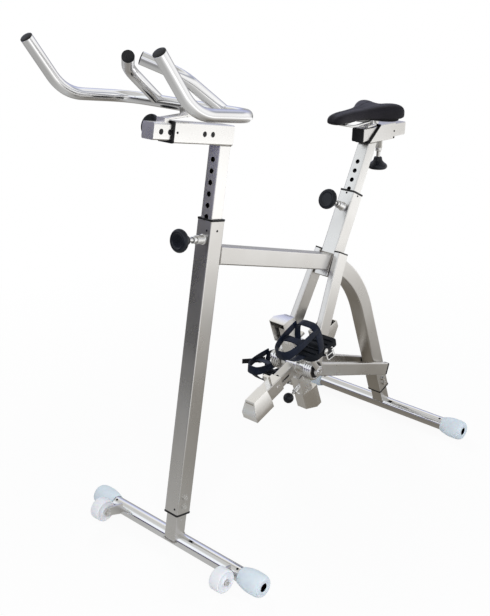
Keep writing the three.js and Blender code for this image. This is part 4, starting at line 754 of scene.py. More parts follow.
foot_bar("front_foot_bar", 0, "front_foot")
foot_bar("rear_foot_bar", REAR_BAR_X, "rear_foot")
front_along, front_across = leaning_axes(FRONT_LEAN, 1)
arch_along, arch_across = leaning_axes(ARCH_LEAN, -1)
front_foot_point, arch_foot_point = at(12, 0, 114.9), at(973, 0, 99.7)
bike_ends = {
    "front": (0, front_foot_point, front_along, front_across),
    "rear": (REAR_BAR_X, arch_foot_point, arch_along, arch_across),
}
STUB_DROP, STUB_RISE = {"front": mm(80), "rear": mm(66)}, mm(108)
for end, (_, foot, along, across) in bike_ends.items():
    stub_ends = foot - along * STUB_DROP[end], foot + along * STUB_RISE
    mesh = square_bar(f"{end}_stub", *stub_ends, across, STUB_HALF, STUB_CORNER, wall=STUB_WALL)
    add_piece(f"{end}_stub", mesh, "satin_steel", "frame")
print("foot bars and stubs")

# %% [markdown]
# The square tubes, bushes and blades already have the right shape as solids. What a solid
# lacks is shading: its corners are drawn with two faces each. A welded copy, shaded smooth,
# rounds those corners to the eye, a hair of bevel breaks the sawn edges, and a Weighted Normal
# modifier keeps the wide faces looking flat.

# %% Fine copies of the plain solids
EDGE_BREAK, SKIN_ANGLE = mm(0.6), 50
home_body = {name: solid["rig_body"] for name, solid in nodes.items()}
record_finish = {entry["node"]: entry["material_slot"] for entry in frame["record"]["subparts"]}


def keep_flat_faces(piece):
    even = piece.modifiers.new("flat_faces", "WEIGHTED_NORMAL")
    even.weight = 100
    even.keep_sharp = True


def welded_copy(node_name):
    mesh = nodes[node_name].data.copy()
    mesh.name = f"{node_name}_skin"
    if "custom_normal" in mesh.attributes:
        mesh.attributes.remove(mesh.attributes["custom_normal"])
    shape = bmesh.new()
    shape.from_mesh(mesh)
    bmesh.ops.remove_doubles(shape, verts=shape.verts, dist=1e-5)
    bmesh.ops.dissolve_limit(shape, angle_limit=math.radians(0.6), verts=shape.verts, edges=shape.edges)
    shape.to_mesh(mesh)
    shape.free()
    return mesh


def fine_copy(node_name, finish, holes):
    mesh = welded_copy(node_name)
    if holes:
        mesh = drilled(mesh, holes)
    slot = record_finish[node_name]
    piece = add_piece(
        f"{node_name}_skin", mesh, finish or slot, home_body[node_name], slot, [node_name], SKIN_ANGLE,
    )
    soften(piece, EDGE_BREAK, SKIN_ANGLE + 5)
    keep_flat_faces(piece)


print("solids that can be copied:", len(home_body))

# %% [markdown]
# The pin holes have to look truly round, so they are drilled again a little wider. A Boolean
# modifier takes all the drills of one tube away at once, and its result is kept as the mesh.

# %% Pin holes
HOLE_RADIUS, HOLE_DEPTH = mm(6.9), mm(7)


def cut_away(mesh, cutter):
    work, tool = put_in_scene("work", mesh), put_in_scene("cutter", cutter)
    cut = work.modifiers.new("cut", "BOOLEAN")
    cut.object = tool
    cut.solver = "EXACT"
    result = bpy.data.meshes.new_from_object(work.evaluated_get(bpy.context.evaluated_depsgraph_get()))
    for thing in (tool, work):
        bpy.data.objects.remove(thing)
    return result


def drilled(mesh, holes):
    drills = [
        swept_tube("drill", [place - out * HOLE_DEPTH, place + out * HOLE_DEPTH], HOLE_RADIUS, 28)
        for place, out in holes
    ]
    return cut_away(mesh, joined("drill", *drills))


print("drills of radius", round(HOLE_RADIUS * 1000, 1), "mm")

# %% [markdown]
# A place on a tube's face is told by a starting point, a distance along the tube and the way
# in which the face looks. Each row of holes runs on at an even pitch from the one that its
# lock uses. The saddle slide falls a little to the rear.

# %% Places of the pin holes
ACROSS_BIKE = Vector((0, 1, 0))
NEAR_SIDE = -ACROSS_BIKE
SEAT_LEAN, SEAT_SLOPE = math.radians(29.5), math.radians(4.8)
seat_along, seat_across = leaning_axes(SEAT_LEAN, 1)
seat_tube_foot, seat_sleeve_point = at(670.6, 0, 600), at(853.8, 0, 996)
seat_back = Vector((math.cos(SEAT_SLOPE), 0, -math.sin(SEAT_SLOPE)))
seat_down = Vector((-math.sin(SEAT_SLOPE), 0, -math.cos(SEAT_SLOPE)))
sleeve_point = front_foot_point + front_along * mm(1026.5)
sleeve_back = front_across
INNER_FACE, TUBE_FACE = mm(20), mm(25)


def on_face(origin, along, reach, out, face=TUBE_FACE):
    return origin + along * mm(reach) + out * face, out


def hole_row(origin, along, first, pitch, steps, out, face=INNER_FACE):
    return [on_face(origin, along, first + pitch * step, out, face) for step in steps]


POST_LOCK, REACH_LOCK, SEAT_LOCK, SADDLE_LOCK = 760.8, -139.8, 213.1, 87.5
post_holes = hole_row(front_foot_point, front_along, POST_LOCK, 29, range(-3, 8), -front_across)
window_holes = hole_row(sleeve_point, sleeve_back, -84.9, 28.5, range(2), NEAR_SIDE, TUBE_FACE)
slider_holes = hole_row(sleeve_point, sleeve_back, REACH_LOCK, 28.4, range(-3, 4), NEAR_SIDE)
seat_holes = hole_row(seat_tube_foot, seat_along, SEAT_LOCK, 28.3, range(-3, 6), -seat_across)
saddle_holes = hole_row(seat_sleeve_point, seat_back, SADDLE_LOCK, 28.4, range(-2, 3), seat_down)
holes_of = {
    "handlebar_post": post_holes + window_holes, "handlebar_slider": slider_holes,
    "seat_post": seat_holes, "seat_slider": saddle_holes,
}
print("holes:", {name: len(places) for name, places in holes_of.items()})

# %% [markdown]
# The plain solids are carried over one by one. The two handlebar tubes that slide and the four
# blades get the brighter steel, although the record gives them the frame's satin one.

# %% Carry the solids over
BRIGHT_SOLIDS = [
    "handlebar_post", "handlebar_slider", "paddle_blade_front", "paddle_blade_top", "paddle_blade_rear",
    "paddle_blade_low",
]
PLAIN_SOLIDS = [
    "front_post", "main_tube", "seat_tube", "handlebar_post", "handlebar_slider", "seat_post", "seat_slider",
    "chain_stay_left", "chain_stay_right", "paddle_cross", "paddle_blade_front", "paddle_blade_top",
    "paddle_blade_rear", "paddle_blade_low", "front_post_foot_bush", "front_post_top_bush", "seat_tube_bush",
    "rear_arch_bush", "handlebar_sleeve_bush", "seat_sleeve_bush", "seat_slider_plug", "strut_cap_left",
    "strut_cap_right", "saddle_clamp",
]
for name in PLAIN_SOLIDS:
    fine_copy(name, "bright_steel" if name in BRIGHT_SOLIDS else None, holes_of.get(name))
print("fine copies:", len(PLAIN_SOLIDS))

# %% [markdown]
# Two nylon wheels stand just off the floor in front of the bike. Tip the bike forward and it
# rolls on them. Each hangs on a welded plate with a rounded nose, cut here as an outline and
# given its thickness by joining two copies of it.

# %% Wheel plates
WHEEL_X, WHEEL_Y, WHEEL_Z = -64, 236, 51
PLATE_INNER, PLATE_OUTER, PLATE_NOSE = 211.5, 218.5, 12
for side, word in SIDES:
    outline = [(0, FOOT_HEIGHT - 18), (0, FOOT_HEIGHT + 18)]
    for step in range(17):
        turn = math.pi * (0.5 + step / 16)
        outline.append((WHEEL_X + PLATE_NOSE * math.cos(turn), WHEEL_Z + PLATE_NOSE * math.sin(turn)))
    rings = [[at(x, side * y, z) for x, z in outline] for y in (PLATE_INNER, PLATE_OUTER)]
    piece = add_piece(f"wheel_plate_{word}", rings_to_mesh("wheel_plate", rings), "satin_steel", "frame")
    soften(piece, mm(0.8))
    keep_flat_faces(piece)
print("wheel plates")

# %% [markdown]
# A wheel is turned on a lathe, so its profile is all there is to draw: a hub that stands a
# little proud, a shallow dish, and a tread whose edges are well rounded.

# %% Wheels
WHEEL_HALF = 16.5
WHEEL_SIDE = [
    (4.3, 0), (10.4, 0), (11, 0.6), (12.6, 2.6), (14, 3), (24.6, 3), (26.2, 2.6), (27.4, 0.5), (28.4, 0),
    (30.4, 0.7), (31.6, 2.2), (32, 4.4),
]
near = [(wide, high - WHEEL_HALF) for wide, high in WHEEL_SIDE]
wheel_profile = near + [(wide, -high) for wide, high in reversed(near)] + near[:1]
for side, word in SIDES:
    turned_piece(
        f"rolling_foot_{word}", wheel_profile, at(WHEEL_X, side * WHEEL_Y, WHEEL_Z), ACROSS_BIKE,
        "wheel_nylon", f"wheel_{word}", 72, stands_for=[f"transport_wheel_{word}"], smooth_angle=50,
    )
print("wheels of radius 32 mm")

# %% [markdown]
# Hexagon bolts hold the wheels and pin the square tubes. A bolt's head is a hexagon whose top
# corners are turned away by a cone, so each ring takes the smaller of the two outlines. A
# washer lies under it.

# %% Hexagon bolts
HEAD_FLAT, SHANK_RADIUS, BOLT_REACH = 7.0, mm(4), mm(25.05)


def hex_ring(centre, side_axis, over_axis, limit, around=36):
    ring = []
    for step in range(around):
        turn = 2 * math.pi * step / around
        corner = (turn + math.pi / 6) % (math.pi / 3) - math.pi / 6
        reach = min(HEAD_FLAT / math.cos(corner), limit)
        ring.append(centre + (side_axis * math.cos(turn) + over_axis * math.sin(turn)) * mm(reach))
    return ring


def bolt_head(base, outwards, height=5.2, washer=9.2):
    axes = axes_for(outwards)
    levels = [
        (0, 9), (height - 1.5, 9), (height - 0.7, 7.5), (height - 0.1, 6.7), (height, 6.2), (height, 3.4),
        (height - 0.4, 2.8),
    ]
    rings = [hex_ring(base + outwards * mm(0.9 + level), *axes, limit) for level, limit in levels]
    disc = [(0, 0), (washer - 0.3, 0), (washer, 0.25), (washer, 0.75), (washer - 0.3, 1.0), (0, 1.0)]
    return joined("bolt_head", rings_to_mesh("head", rings), turned_mesh("washer", disc, base, outwards))


def through_bolt(name, ends, node_name):
    heads = [bolt_head(place, out) for place, out in ends]
    shank = swept_tube("shank", [place for place, out in ends], SHANK_RADIUS, 24)
    mesh = joined(name, *heads, shank)
    add_piece(name, mesh, "bolt_steel", "frame", stands_for=[node_name], smooth_angle=25)


print("bolt heads", 2 * HEAD_FLAT, "mm across their flats")

# %% [markdown]
# Each wheel turns on a bolt that passes through it and through its plate. Two more bolts pass
# through each stub and the frame's tube that stands round it.

# %% Bolts of wheels and stubs
for side, word in SIDES:
    inner = at(WHEEL_X, side * (PLATE_INNER - 0.1), WHEEL_Z)
    outer = at(WHEEL_X, side * (WHEEL_Y + WHEEL_HALF + 0.4), WHEEL_Z)
    out = ACROSS_BIKE * side
    through_bolt(f"wheel_axle_{word}", [(inner, -out), (outer, out)], f"wheel_bolt_{word}")
BOLT_HEIGHTS, BOLT_SHIFT = {"front": (22, 47.5), "rear": (20.7, 41.2)}, {"front": -2, "rear": 2}
for end, (_, foot, along, across) in bike_ends.items():
    for index, height in enumerate(BOLT_HEIGHTS[end], 1):
        middle = foot + along * mm(height) + across * mm(BOLT_SHIFT[end])
        bolt_ends = [(middle + out * BOLT_REACH, out) for out in (NEAR_SIDE, ACROSS_BIKE)]
        through_bolt(f"{end}_pin_bolt_{index}", bolt_ends, f"{end}_bolt_{index}")
print("two wheel bolts, four through bolts")

# %% [markdown]
# The pale rubber caps are barrel shaped: a narrow neck, a full belly and a slightly smaller
# end with a round hole. Their undersides are worn flat where they stand, which one clamp on
# the vertices' height gives. A black cup lines each hole: painted shade, so that the hole
# looks as dark as the inside of the tube.

# %% Rubber caps
CAP_START, CAP_LENGTH, CAP_BELLY, CAP_NECK, CAP_LIP = 249, 76, 31.6, 23.5, 25
CAP_SWELL = [(0.0, 0.0), (0.12, 0.35), (0.3, 0.78), (0.5, 1.0), (0.72, 1.0), (0.88, 0.78), (0.96, 0.4)]
CAP_END = [
    (25.9, 75.2), (24.6, 75.9), (23.6, 76), (14, 76), (12.8, 75.6), (12, 74.6), (12, 48), (21.3, 48),
    (21.3, 0.6), (21.9, 0),
]
CAP_BORE_SHADE = [(11.9, 74.2), (11.9, 49), (0, 49), (0, 50), (11.3, 50), (11.3, 74.2)]
cap_profile = [(21.9, 0), (23, 0)]
for share, swell in curved_profile(CAP_SWELL, 6)[1:]:
    neck = CAP_NECK if share < 0.5 else CAP_LIP
    cap_profile.append((neck + (CAP_BELLY - neck) * min(swell, 1), CAP_LENGTH * share))
cap_profile += CAP_END
for side, word in SIDES:
    for end, x in (("front", 0), ("rear", REAR_BAR_X)):
        start, out = at(x, side * CAP_START, FOOT_HEIGHT), ACROSS_BIKE * side
        mesh = turned_mesh("cap", cap_profile, start, out, 72)
        for vertex in mesh.vertices:
            vertex.co.z = max(vertex.co.z, 0.0)
        name = f"{end}_rubber_{word}"
        # black cup inside the cap's hole: painted shade
        turned_piece(f"{name}_painted_bore_shade", CAP_BORE_SHADE, start, out, "black_plastic", "frame", 40)
        add_piece(name, mesh, "cap_rubber", "frame", stands_for=[f"{end}_cap_{word}"], smooth_angle=60)
print("four caps,", CAP_LENGTH, "mm long")

# %% [markdown]
# A small dark socket screw beside each cap keeps it on the tube, and similar blind rivets hold
# the sleeve bushes. They are low domes with a sunk middle.

# %% Screws and rivets
SCREW_PROFILE = [(3.6, -1.5), (3.6, 0.2), (3.2, 0.7), (2.4, 0.95), (1.9, 0.9), (1.5, 0.1), (0, 0.0)]


def small_screw(name, place, outwards, finish="black_plastic", body="frame", size=1.0):
    profile = [(wide * size, high) for wide, high in SCREW_PROFILE]
    turned_piece(name, profile, place, outwards, finish, body, 24)


SCREW_LEAN, SCREW_Y = math.radians(18), 239
screw_out = Vector((-math.sin(SCREW_LEAN), 0, math.cos(SCREW_LEAN)))
for end, x in (("front", 0), ("rear", REAR_BAR_X)):
    for side, word in SIDES:
        place = at(x, side * SCREW_Y, FOOT_HEIGHT) + screw_out * mm(FOOT_RADIUS)
        small_screw(f"{end}_cap_screw_{word}", place, screw_out)
print("cap screws")

# %% [markdown]
# Four lock knobs share one shape: a steel plunger in a welded boss, and a black knob that
# swells from a narrow neck to a broad round head with a shallow dish in its end. The knob is
# drawn as a smooth profile and turned. Its middle is printed beside the solid's, to compare
# their places.

# %% Lock knobs
KNOB_PROFILE = [
    (9, 53), (11.6, 54.2), (12.6, 57), (13.2, 60.5), (14.8, 64.5), (18.8, 69), (24.4, 73), (28.4, 76.8),
    (30.2, 81.2), (29.6, 85.4), (26.4, 89), (22.4, 90.2), (19.4, 89.7), (17.2, 88.4), (9, 87.8),
]
PLUNGER_PROFILE = [(0, -4), (3.2, -4), (4, -3), (4, 14), (6, 14), (6, 55), (0, 55)]
KNOB_MIDDLE = 44
knob_roots = {
    "front_lock": on_face(front_foot_point, front_along, POST_LOCK, -front_across),
    "reach_lock": on_face(sleeve_point, sleeve_back, REACH_LOCK, ACROSS_BIKE),
    "seat_lock": on_face(seat_tube_foot, seat_along, SEAT_LOCK, -seat_across),
    "saddle_lock": on_face(seat_sleeve_point, seat_back, SADDLE_LOCK, seat_down),
}
knob_curve = curved_profile(KNOB_PROFILE, 5)
for name, (root, outwards) in knob_roots.items():
    turned_piece(
        f"{name}_head", knob_curve, root, outwards, "knob_plastic", name, 64,
        stands_for=[f"{name}_knob"], smooth_angle=60,
    )
    turned_piece(f"{name}_plunger", PLUNGER_PROFILE, root, outwards, "bolt_steel", name, 40, smooth_angle=40)
    low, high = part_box(f"{name}_knob")
    middles = (low + high) / 2, root + outwards * mm(KNOB_MIDDLE)
    print(name, "middles of solid and piece", [[round(v, 3) for v in middle] for middle in middles])

# %% [markdown]
# The bosses are short steel sleeves welded to the tubes. A smooth one is drawn just over the
# faceted one of the solid, with a small collar of weld at its foot. A locking ring sits on its
# end, and the plunger slides through it.

# %% Bosses
BOSS_PROFILE = [
    (6.8, 36.2), (9, 36.2), (9.6, 35.6), (9.6, 25.6), (9.3, 25), (10.4, 25), (11.1, 24.3), (11.1, 2.6),
    (12.2, 1.4), (13.6, 0.6), (14.4, -0.6), (6.8, -0.6), (6.8, 36.2),
]
boss_bodies = {
    "front_lock": "frame", "reach_lock": "handlebar_mast", "seat_lock": "frame", "saddle_lock": "seat_mast",
}
for name, (root, outwards) in knob_roots.items():
    turned_piece(
        f"{name}_boss", BOSS_PROFILE, root, outwards, "bolt_steel", boss_bodies[name], smooth_angle=50,
    )
print("four bosses")

# %% [markdown]
# The low blade is held by a spring pin with a round black ball to pull on. The ball is turned
# too, with the flat that the mould leaves where the stem goes in.

# %% Ball pin
AXLE_X, AXLE_Z, ARM_TILT = 532, 362, math.radians(17.5)
PIN_REACH, BALL_RADIUS, BALL_MIDDLE = 88, 16, 68
axle_point = at(AXLE_X, 0, AXLE_Z)


def arm_axes(quarter):
    turn = math.pi + ARM_TILT - quarter * math.pi / 2
    out = Vector((math.cos(turn), 0, math.sin(turn)))
    return out, out.cross(Vector((0, -1, 0)))


low_out, low_top = arm_axes(3)
pin_root = axle_point + low_out * mm(PIN_REACH)
ball_turns = [math.radians(angle) for angle in range(-78, 89, 6)]
ball = [(BALL_RADIUS * math.cos(turn), BALL_MIDDLE + BALL_RADIUS * math.sin(turn)) for turn in ball_turns]
ball = [(0, BALL_MIDDLE - BALL_RADIUS), *ball, (0, BALL_MIDDLE + BALL_RADIUS)]
stem = [(0, 19.8), (3.4, 19.8), (4, 20.6), (4, 44.8), (3, 45.2), (3, 53.5), (0, 53.5)]
collar = [(4.3, 39), (7.4, 39), (8.1, 38.2), (8.1, 25), (9.6, 23.4), (9.6, 22.8), (4.3, 22.8), (4.3, 39)]
turned_piece(
    "pin_ball", ball, pin_root, low_top, "knob_plastic", "blade_pin",
    stands_for=["paddle_lock_pin"], smooth_angle=60,
)
turned_piece("pin_stem", stem, pin_root, low_top, "bolt_steel", "blade_pin", 32)
turned_piece("pin_collar", collar, pin_root, low_top, "bolt_steel", "blade_low", 32)
print("ball pin on the low blade")

# %% [markdown]
# The saddle is foam under a tight imitation leather skin. Its form comes from fourteen cross
# sections from the nose to the tail, each a squared oval whose sides hang down at the back.
# Here they are drawn again with many more sections and points between them, so that the skin
# is smooth, and the same numbers bend it: a channel down the middle, two lobes at the tail.

# %% Saddle form
SADDLE_NOSE, SADDLE_LONG, SADDLE_FLOOR = 696, 259, 1048.3
SADDLE_HALF, SADDLE_CROWN, SADDLE_NOTCH, SADDLE_CHANNEL, SADDLE_DROOP = 82, 33, 32, 6, 27
SADDLE_SQUARE = 0.62
# along, half width, top, low, notch, droop: all as shares
SADDLE_STATIONS = [
    (0.0, 0.15, 0.42, 0.3, 0, 0), (0.025, 0.23, 0.66, 0.12, 0, 0), (0.08, 0.29, 0.86, 0.02, 0, 0),
    (0.18, 0.31, 0.95, 0, 0, 0.02), (0.3, 0.32, 0.93, 0, 0, 0.06), (0.42, 0.35, 0.9, 0, 0, 0.14),
    (0.53, 0.42, 0.88, 0, 0.03, 0.28), (0.63, 0.54, 0.9, 0, 0.08, 0.5), (0.72, 0.7, 0.95, 0, 0.14, 0.74),
    (0.81, 0.86, 0.99, 0, 0.2, 0.92), (0.89, 0.97, 1, 0, 0.26, 1), (0.955, 1, 0.92, 0.02, 0.34, 0.96),
    (0.99, 0.93, 0.7, 0.1, 0.4, 0.88), (1.0, 0.85, 0.5, 0.2, 0.42, 0.85),
]
smooth_stations = curved_profile(SADDLE_STATIONS, 8)


def saddle_point(station, turn):
    along, half_share, top, low, notch, droop = station
    across = signed_power(math.cos(turn), SADDLE_SQUARE)
    rise = signed_power(math.sin(turn), SADDLE_SQUARE)
    centre = 1 - across * across
    hang = SADDLE_DROOP * droop * abs(across) ** 2.4
    floor_z = SADDLE_FLOOR + 0.2 + SADDLE_CROWN * max(low, 0) - hang
    roof_z = SADDLE_FLOOR + SADDLE_CROWN * top
    dip = SADDLE_CHANNEL * half_share * centre ** 6 if rise > 0 else 0
    x = SADDLE_NOSE + SADDLE_LONG * along - SADDLE_NOTCH * notch * centre ** 2
    z = (floor_z + roof_z + (roof_z - floor_z) * rise) / 2 - dip
    return x, SADDLE_HALF * half_share * across, z, across


print("sections:", len(SADDLE_STATIONS), "drawn as", len(smooth_stations))

# %% [markdown]
# A seam runs beside the channel on each side of the seat. A sewn seam pulls the skin down
# into a narrow groove with a soft roll on both sides. Moving the vertices by a small
# bell-shaped dip gives exactly that.

# %% Saddle skin
SEAM_DEEP, SEAM_WIDE, SEAM_START, SEAM_END = 1.1, 0.022, 0.06, 0.97
TURN_STEPS = 168


def bell(distance, width):
    return math.exp(-(distance / width) ** 2)


def channel_seam(along):
    return 0.3 + 0.1 * math.sin(math.pi * min(max((along - 0.15) / 0.75, 0), 1))


def seam_dip(along, across, sine):
    if sine <= 0 or along < SEAM_START or along > SEAM_END:
        return 0.0
    fade = min((along - SEAM_START) / 0.08, (SEAM_END - along) / 0.05, 1)
    beside = abs(across) - channel_seam(along)
    groove = bell(beside, SEAM_WIDE) - 0.35 * bell(abs(beside) - 0.06, 0.03)
    return SEAM_DEEP * fade * groove


shares = [step / TURN_STEPS for step in range(TURN_STEPS)]
skin_turns = [2 * math.pi * (share + 0.0175 * math.sin(8 * math.pi * share)) for share in shares]
saddle_rings = []
for station in smooth_stations:
    ring = []
    for turn in skin_turns:
        x, y, z, across = saddle_point(station, turn)
        ring.append(at(x, y, z - seam_dip(station[0], across, math.sin(turn))))
    saddle_rings.append(ring)
saddle_mesh = rings_to_mesh("saddle_skin", saddle_rings)
saddle = add_piece(
    "saddle_skin", saddle_mesh, "saddle_leather", "seat_carriage",
    stands_for=["saddle_cover"], smooth_angle=80,
)
rounding = saddle.modifiers.new("soft_form", "SMOOTH")
rounding.factor = 0.5
rounding.iterations = 2
print("saddle skin vertices:", len(saddle_mesh.vertices))

# %% [markdown]
# Small stitches lie in the channel seams, one every five millimetres. Each is a short bent
# thread that dives into the skin at both ends. All of them are one mesh.

# %% Stitches
STITCH_PITCH, STITCH_LONG, THREAD = 5.0, 3.4, 0.45


def seam_places(side):
    places = []
    for station in smooth_stations:
        along = station[0]
        if 0.1 < along < 0.95:
            share = channel_seam(along) + 0.035
            turn = math.acos(share ** (1 / SADDLE_SQUARE))
            x, y, z, _ = saddle_point(station, turn)
            places.append(Vector((x, side * y, z + 0.1)))
    return places


def stitches_along(places, dive=Vector((0, 0, 0.7))):
    threads, walked = [], 0.0
    for first, second in zip(places, places[1:]):
        step = (second - first).length
        run = (second - first).normalized() * (STITCH_LONG / 2)
        while walked < step:
            middle = first.lerp(second, walked / step)
            ends = [middle - run - dive, middle - run * 0.6, middle + run * 0.6, middle + run - dive]
            threads.append(swept_tube("stitch", [at(*end) for end in ends], mm(THREAD), 6))
            walked += STITCH_PITCH
        walked -= step
    return threads


threads = stitches_along(seam_places(-1)) + stitches_along(seam_places(1))
stitch_mesh = joined("saddle_stitches", *threads)
add_piece("saddle_stitches", stitch_mesh, "thread", "seat_carriage", slot="saddle_leather")
print("stitches:", len(threads))

# %% [markdown]
# Under the foam is a moulded black shell, and in it sits one bent steel rod: its two ends rise
# into the shell's tail, it runs level through the clamp, and it closes in a loop under the nose.

# %% Shell and rails
SHELL_INSET, SHELL_STEPS = 12, 72


def shell_point(station, turn):
    along, half_share, _, raised, notch, droop = station
    across = signed_power(math.cos(turn), SADDLE_SQUARE)
    hang = 0.75 * SADDLE_DROOP * droop * abs(across) ** 4
    x = SADDLE_NOSE + SHELL_INSET + (SADDLE_LONG - 2 * SHELL_INSET) * along
    x -= SADDLE_NOTCH * notch * (1 - across * across) ** 2
    middle = SADDLE_FLOOR + 2.5 - hang + SADDLE_CROWN * max(raised, 0)
    beside = max(SADDLE_HALF * half_share - SHELL_INSET, 4) * across
    return at(x, beside, middle + 3 * signed_power(math.sin(turn), SADDLE_SQUARE))


shell_turns = [2 * math.pi * step / SHELL_STEPS for step in range(SHELL_STEPS)]
shell_rings = [[shell_point(station, turn) for turn in shell_turns] for station in smooth_stations]
shell_mesh = rings_to_mesh("saddle_shell", shell_rings)
add_piece(
    "saddle_shell", shell_mesh, "black_plastic", "seat_carriage",
    stands_for=["saddle_base"], smooth_angle=60,
)
RAIL_POINTS = [(935, 30, 1043), (905, 22, 1036), (776, 22, 1036), (750, 11, 1043)]
rail_corners = [sided(place, -1) for place in RAIL_POINTS]
rail_corners += [sided(place, 1) for place in reversed(RAIL_POINTS)]
rail_path = rounded_path(rail_corners, [mm(trim) for trim in (12, 14, 9, 9, 14, 12)], 10)
rail_mesh = swept_tube("saddle_rail", rail_path, mm(3.5), 24)
add_piece("saddle_rail", rail_mesh, "bolt_steel", "seat_carriage", stands_for=["saddle_rails"])
print("shell and rails")

# %% [markdown]
# A bolt through the clamp's yoke squeezes the rails. Its head and nut show under the saddle.

# %% Clamp bolt
CLAMP_X, CLAMP_Z, YOKE_HALF = 872, 1036, 32.6
clamp_parts = [
    bolt_head(at(CLAMP_X, side * YOKE_HALF, CLAMP_Z), ACROSS_BIKE * side, 4.4, 7.6) for side in (-1, 1)
]
add_piece("clamp_bolt", joined("clamp_bolt", *clamp_parts), "bolt_steel", "seat_carriage", smooth_angle=25)
print("clamp bolt")

# %% [markdown]
# Two struts come down beside the seat tube and carry the paddle wheel's bearings at their
# feet. A strut is a flat rectangular tube that also leans sideways, so its cross section is
# built on three axes: along it, across its width and through its thickness.

# %% Struts
STRUT_FOOT, STRUT_TOP = (539, 60, 362), (704.4, 35.05, 672.5)
STRUT_HALF, STRUT_THICK, STRUT_CORNER, STRUT_WALL, STRUT_CUT = mm(25), mm(10), mm(4), mm(2), mm(4)


def strut_axes(side):
    foot, top = sided(STRUT_FOOT, side), sided(STRUT_TOP, side)
    along = (top - foot).normalized()
    sideways = (Vector((0, 1, 0)) - along * along.y).normalized()
    return foot, top, along, sideways.cross(along)


for side, word in SIDES:
    foot, top, along, across = strut_axes(side)
    mesh = square_bar(
        "strut", foot, top - along * STRUT_CUT, across, STRUT_HALF, STRUT_CORNER, STRUT_THICK, STRUT_WALL,
    )
    name, node_name = f"strut_tube_{word}", f"strut_{word}"
    keep_flat_faces(add_piece(name, mesh, "satin_steel", "frame", stands_for=[node_name], smooth_angle=50))
print("struts,", round(STRUT_HALF * 2000), "mm wide")

# %% [markdown]
# Each bearing sits in a polished barrel with three raised rings. A black seal closes its outer
# end, and a dark rubber lip runs on the axle.

# %% Bearing barrels
RIDGE = [(31, 0), (33.4, 0.2), (34, 0.8), (34, 2.6), (33.4, 3.2), (31, 3.4)]
barrel_profile = [(12.6, 47), (29.8, 47), (31, 48.2)]
for ridge_start in (50.8, 58.8, 66.8):
    barrel_profile += [(wide, ridge_start + high) for wide, high in RIDGE]
barrel_profile += [
    (31, 74.4), (29.6, 76), (25.4, 76), (24.6, 75.2), (24.6, 74.2), (12.6, 74.2), (12.6, 47),
]
SEAL_PROFILE = [
    (12.3, 73.6), (24.2, 73.6), (24.2, 75), (22.8, 75.4), (17.6, 75.2), (16, 76.4), (12.3, 76.8),
    (12.3, 73.6),
]
HUB_PROFILE = [
    (0, 0), (30.2, 0), (30.2, 18.8), (29, 20.2), (20.2, 20.2), (20.2, 44), (19, 45.2), (12.15, 45.2),
    (12.15, 79.6), (0, 79.6),
]
for side, word in SIDES:
    out = ACROSS_BIKE * side
    turned_piece(
        f"bearing_barrel_{word}", barrel_profile, axle_point, out, "polished_steel", "frame", 72,
        slot="satin_steel", smooth_angle=35,
    )
    turned_piece(f"bearing_seal_{word}", SEAL_PROFILE, axle_point, out, "black_plastic", "frame")
hub_parts = [turned_mesh("hub", HUB_PROFILE, axle_point, ACROSS_BIKE * side, 64) for side in (-1, 1)]
add_piece("paddle_hub", joined("paddle_hub", *hub_parts), "bolt_steel", "paddle_wheel", smooth_angle=40)
print("bearing barrels, seals and hub")

# %% [markdown]
# The arch is one tube bent on a roller. Its solid turns in eight steps; here it turns in
# forty, and its top is cut to the seat tube's slope by sliding each corner of the last ring
# along the tube until it meets that face.

# %% Arch
ARCH_RADIUS, ARCH_TURN, ARCH_STRAIGHT, ARCH_STEPS = mm(375), math.radians(31.5), mm(347.5), 40


def arch_rings(half, corner):
    rings = []
    rows = [(Vector((0, 0, 0)), 0.0)]
    for step in range(ARCH_STEPS + 1):
        turn = ARCH_TURN * step / ARCH_STEPS
        back_way, up_way = -ARCH_RADIUS * (1 - math.cos(turn)), ARCH_STRAIGHT + ARCH_RADIUS * math.sin(turn)
        rows.append((Vector((back_way, 0, up_way)), turn))
    for place, turn in rows:
        centre = arch_foot_point + arch_across * place.x + arch_along * place.z
        lean = ARCH_LEAN + turn
        across = Vector((math.cos(lean), 0, math.sin(lean)))
        rings.append(square_ring(centre, across, Vector((0, -1, 0)), half, corner, steps=6))
    run = Vector((-math.sin(ARCH_LEAN + ARCH_TURN), 0, math.cos(ARCH_LEAN + ARCH_TURN)))
    cut = []
    for corner_point in rings[-1]:
        distance = (corner_point - seat_tube_foot).dot(seat_across) - mm(25.2)
        cut.append(corner_point - run * (distance / run.dot(seat_across)))
    return rings + [cut]


outer_rings, inner_rings = arch_rings(mm(25), mm(4.5)), arch_rings(mm(22), mm(2))
arch_mesh = rings_to_mesh("arch_tube", outer_rings + inner_rings[::-1], close_loop=True)
arch = add_piece("arch_tube", arch_mesh, "satin_steel", "frame", stands_for=["rear_arch"], smooth_angle=50)
keep_flat_faces(arch)
low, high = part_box("rear_arch")
print("solid", [round(v, 3) for v in (*low, *high)])

# %% [markdown]
# Cranks are forged: a thick round eye at the axle, a smaller one at the pedal and a slim arm
# between that narrows towards the pedal and has softly rolled edges. Rings of a rounded
# rectangle, each with its own width and thickness, give that arm.

# %% Cranks
CRANK_LONG, CRANK_TURN, CRANK_MIDDLE = 150, math.radians(123.5), mm(85.5)


def crank_tip(side):
    reach = side * CRANK_LONG
    return AXLE_X - reach * math.cos(CRANK_TURN), AXLE_Z - reach * math.sin(CRANK_TURN)


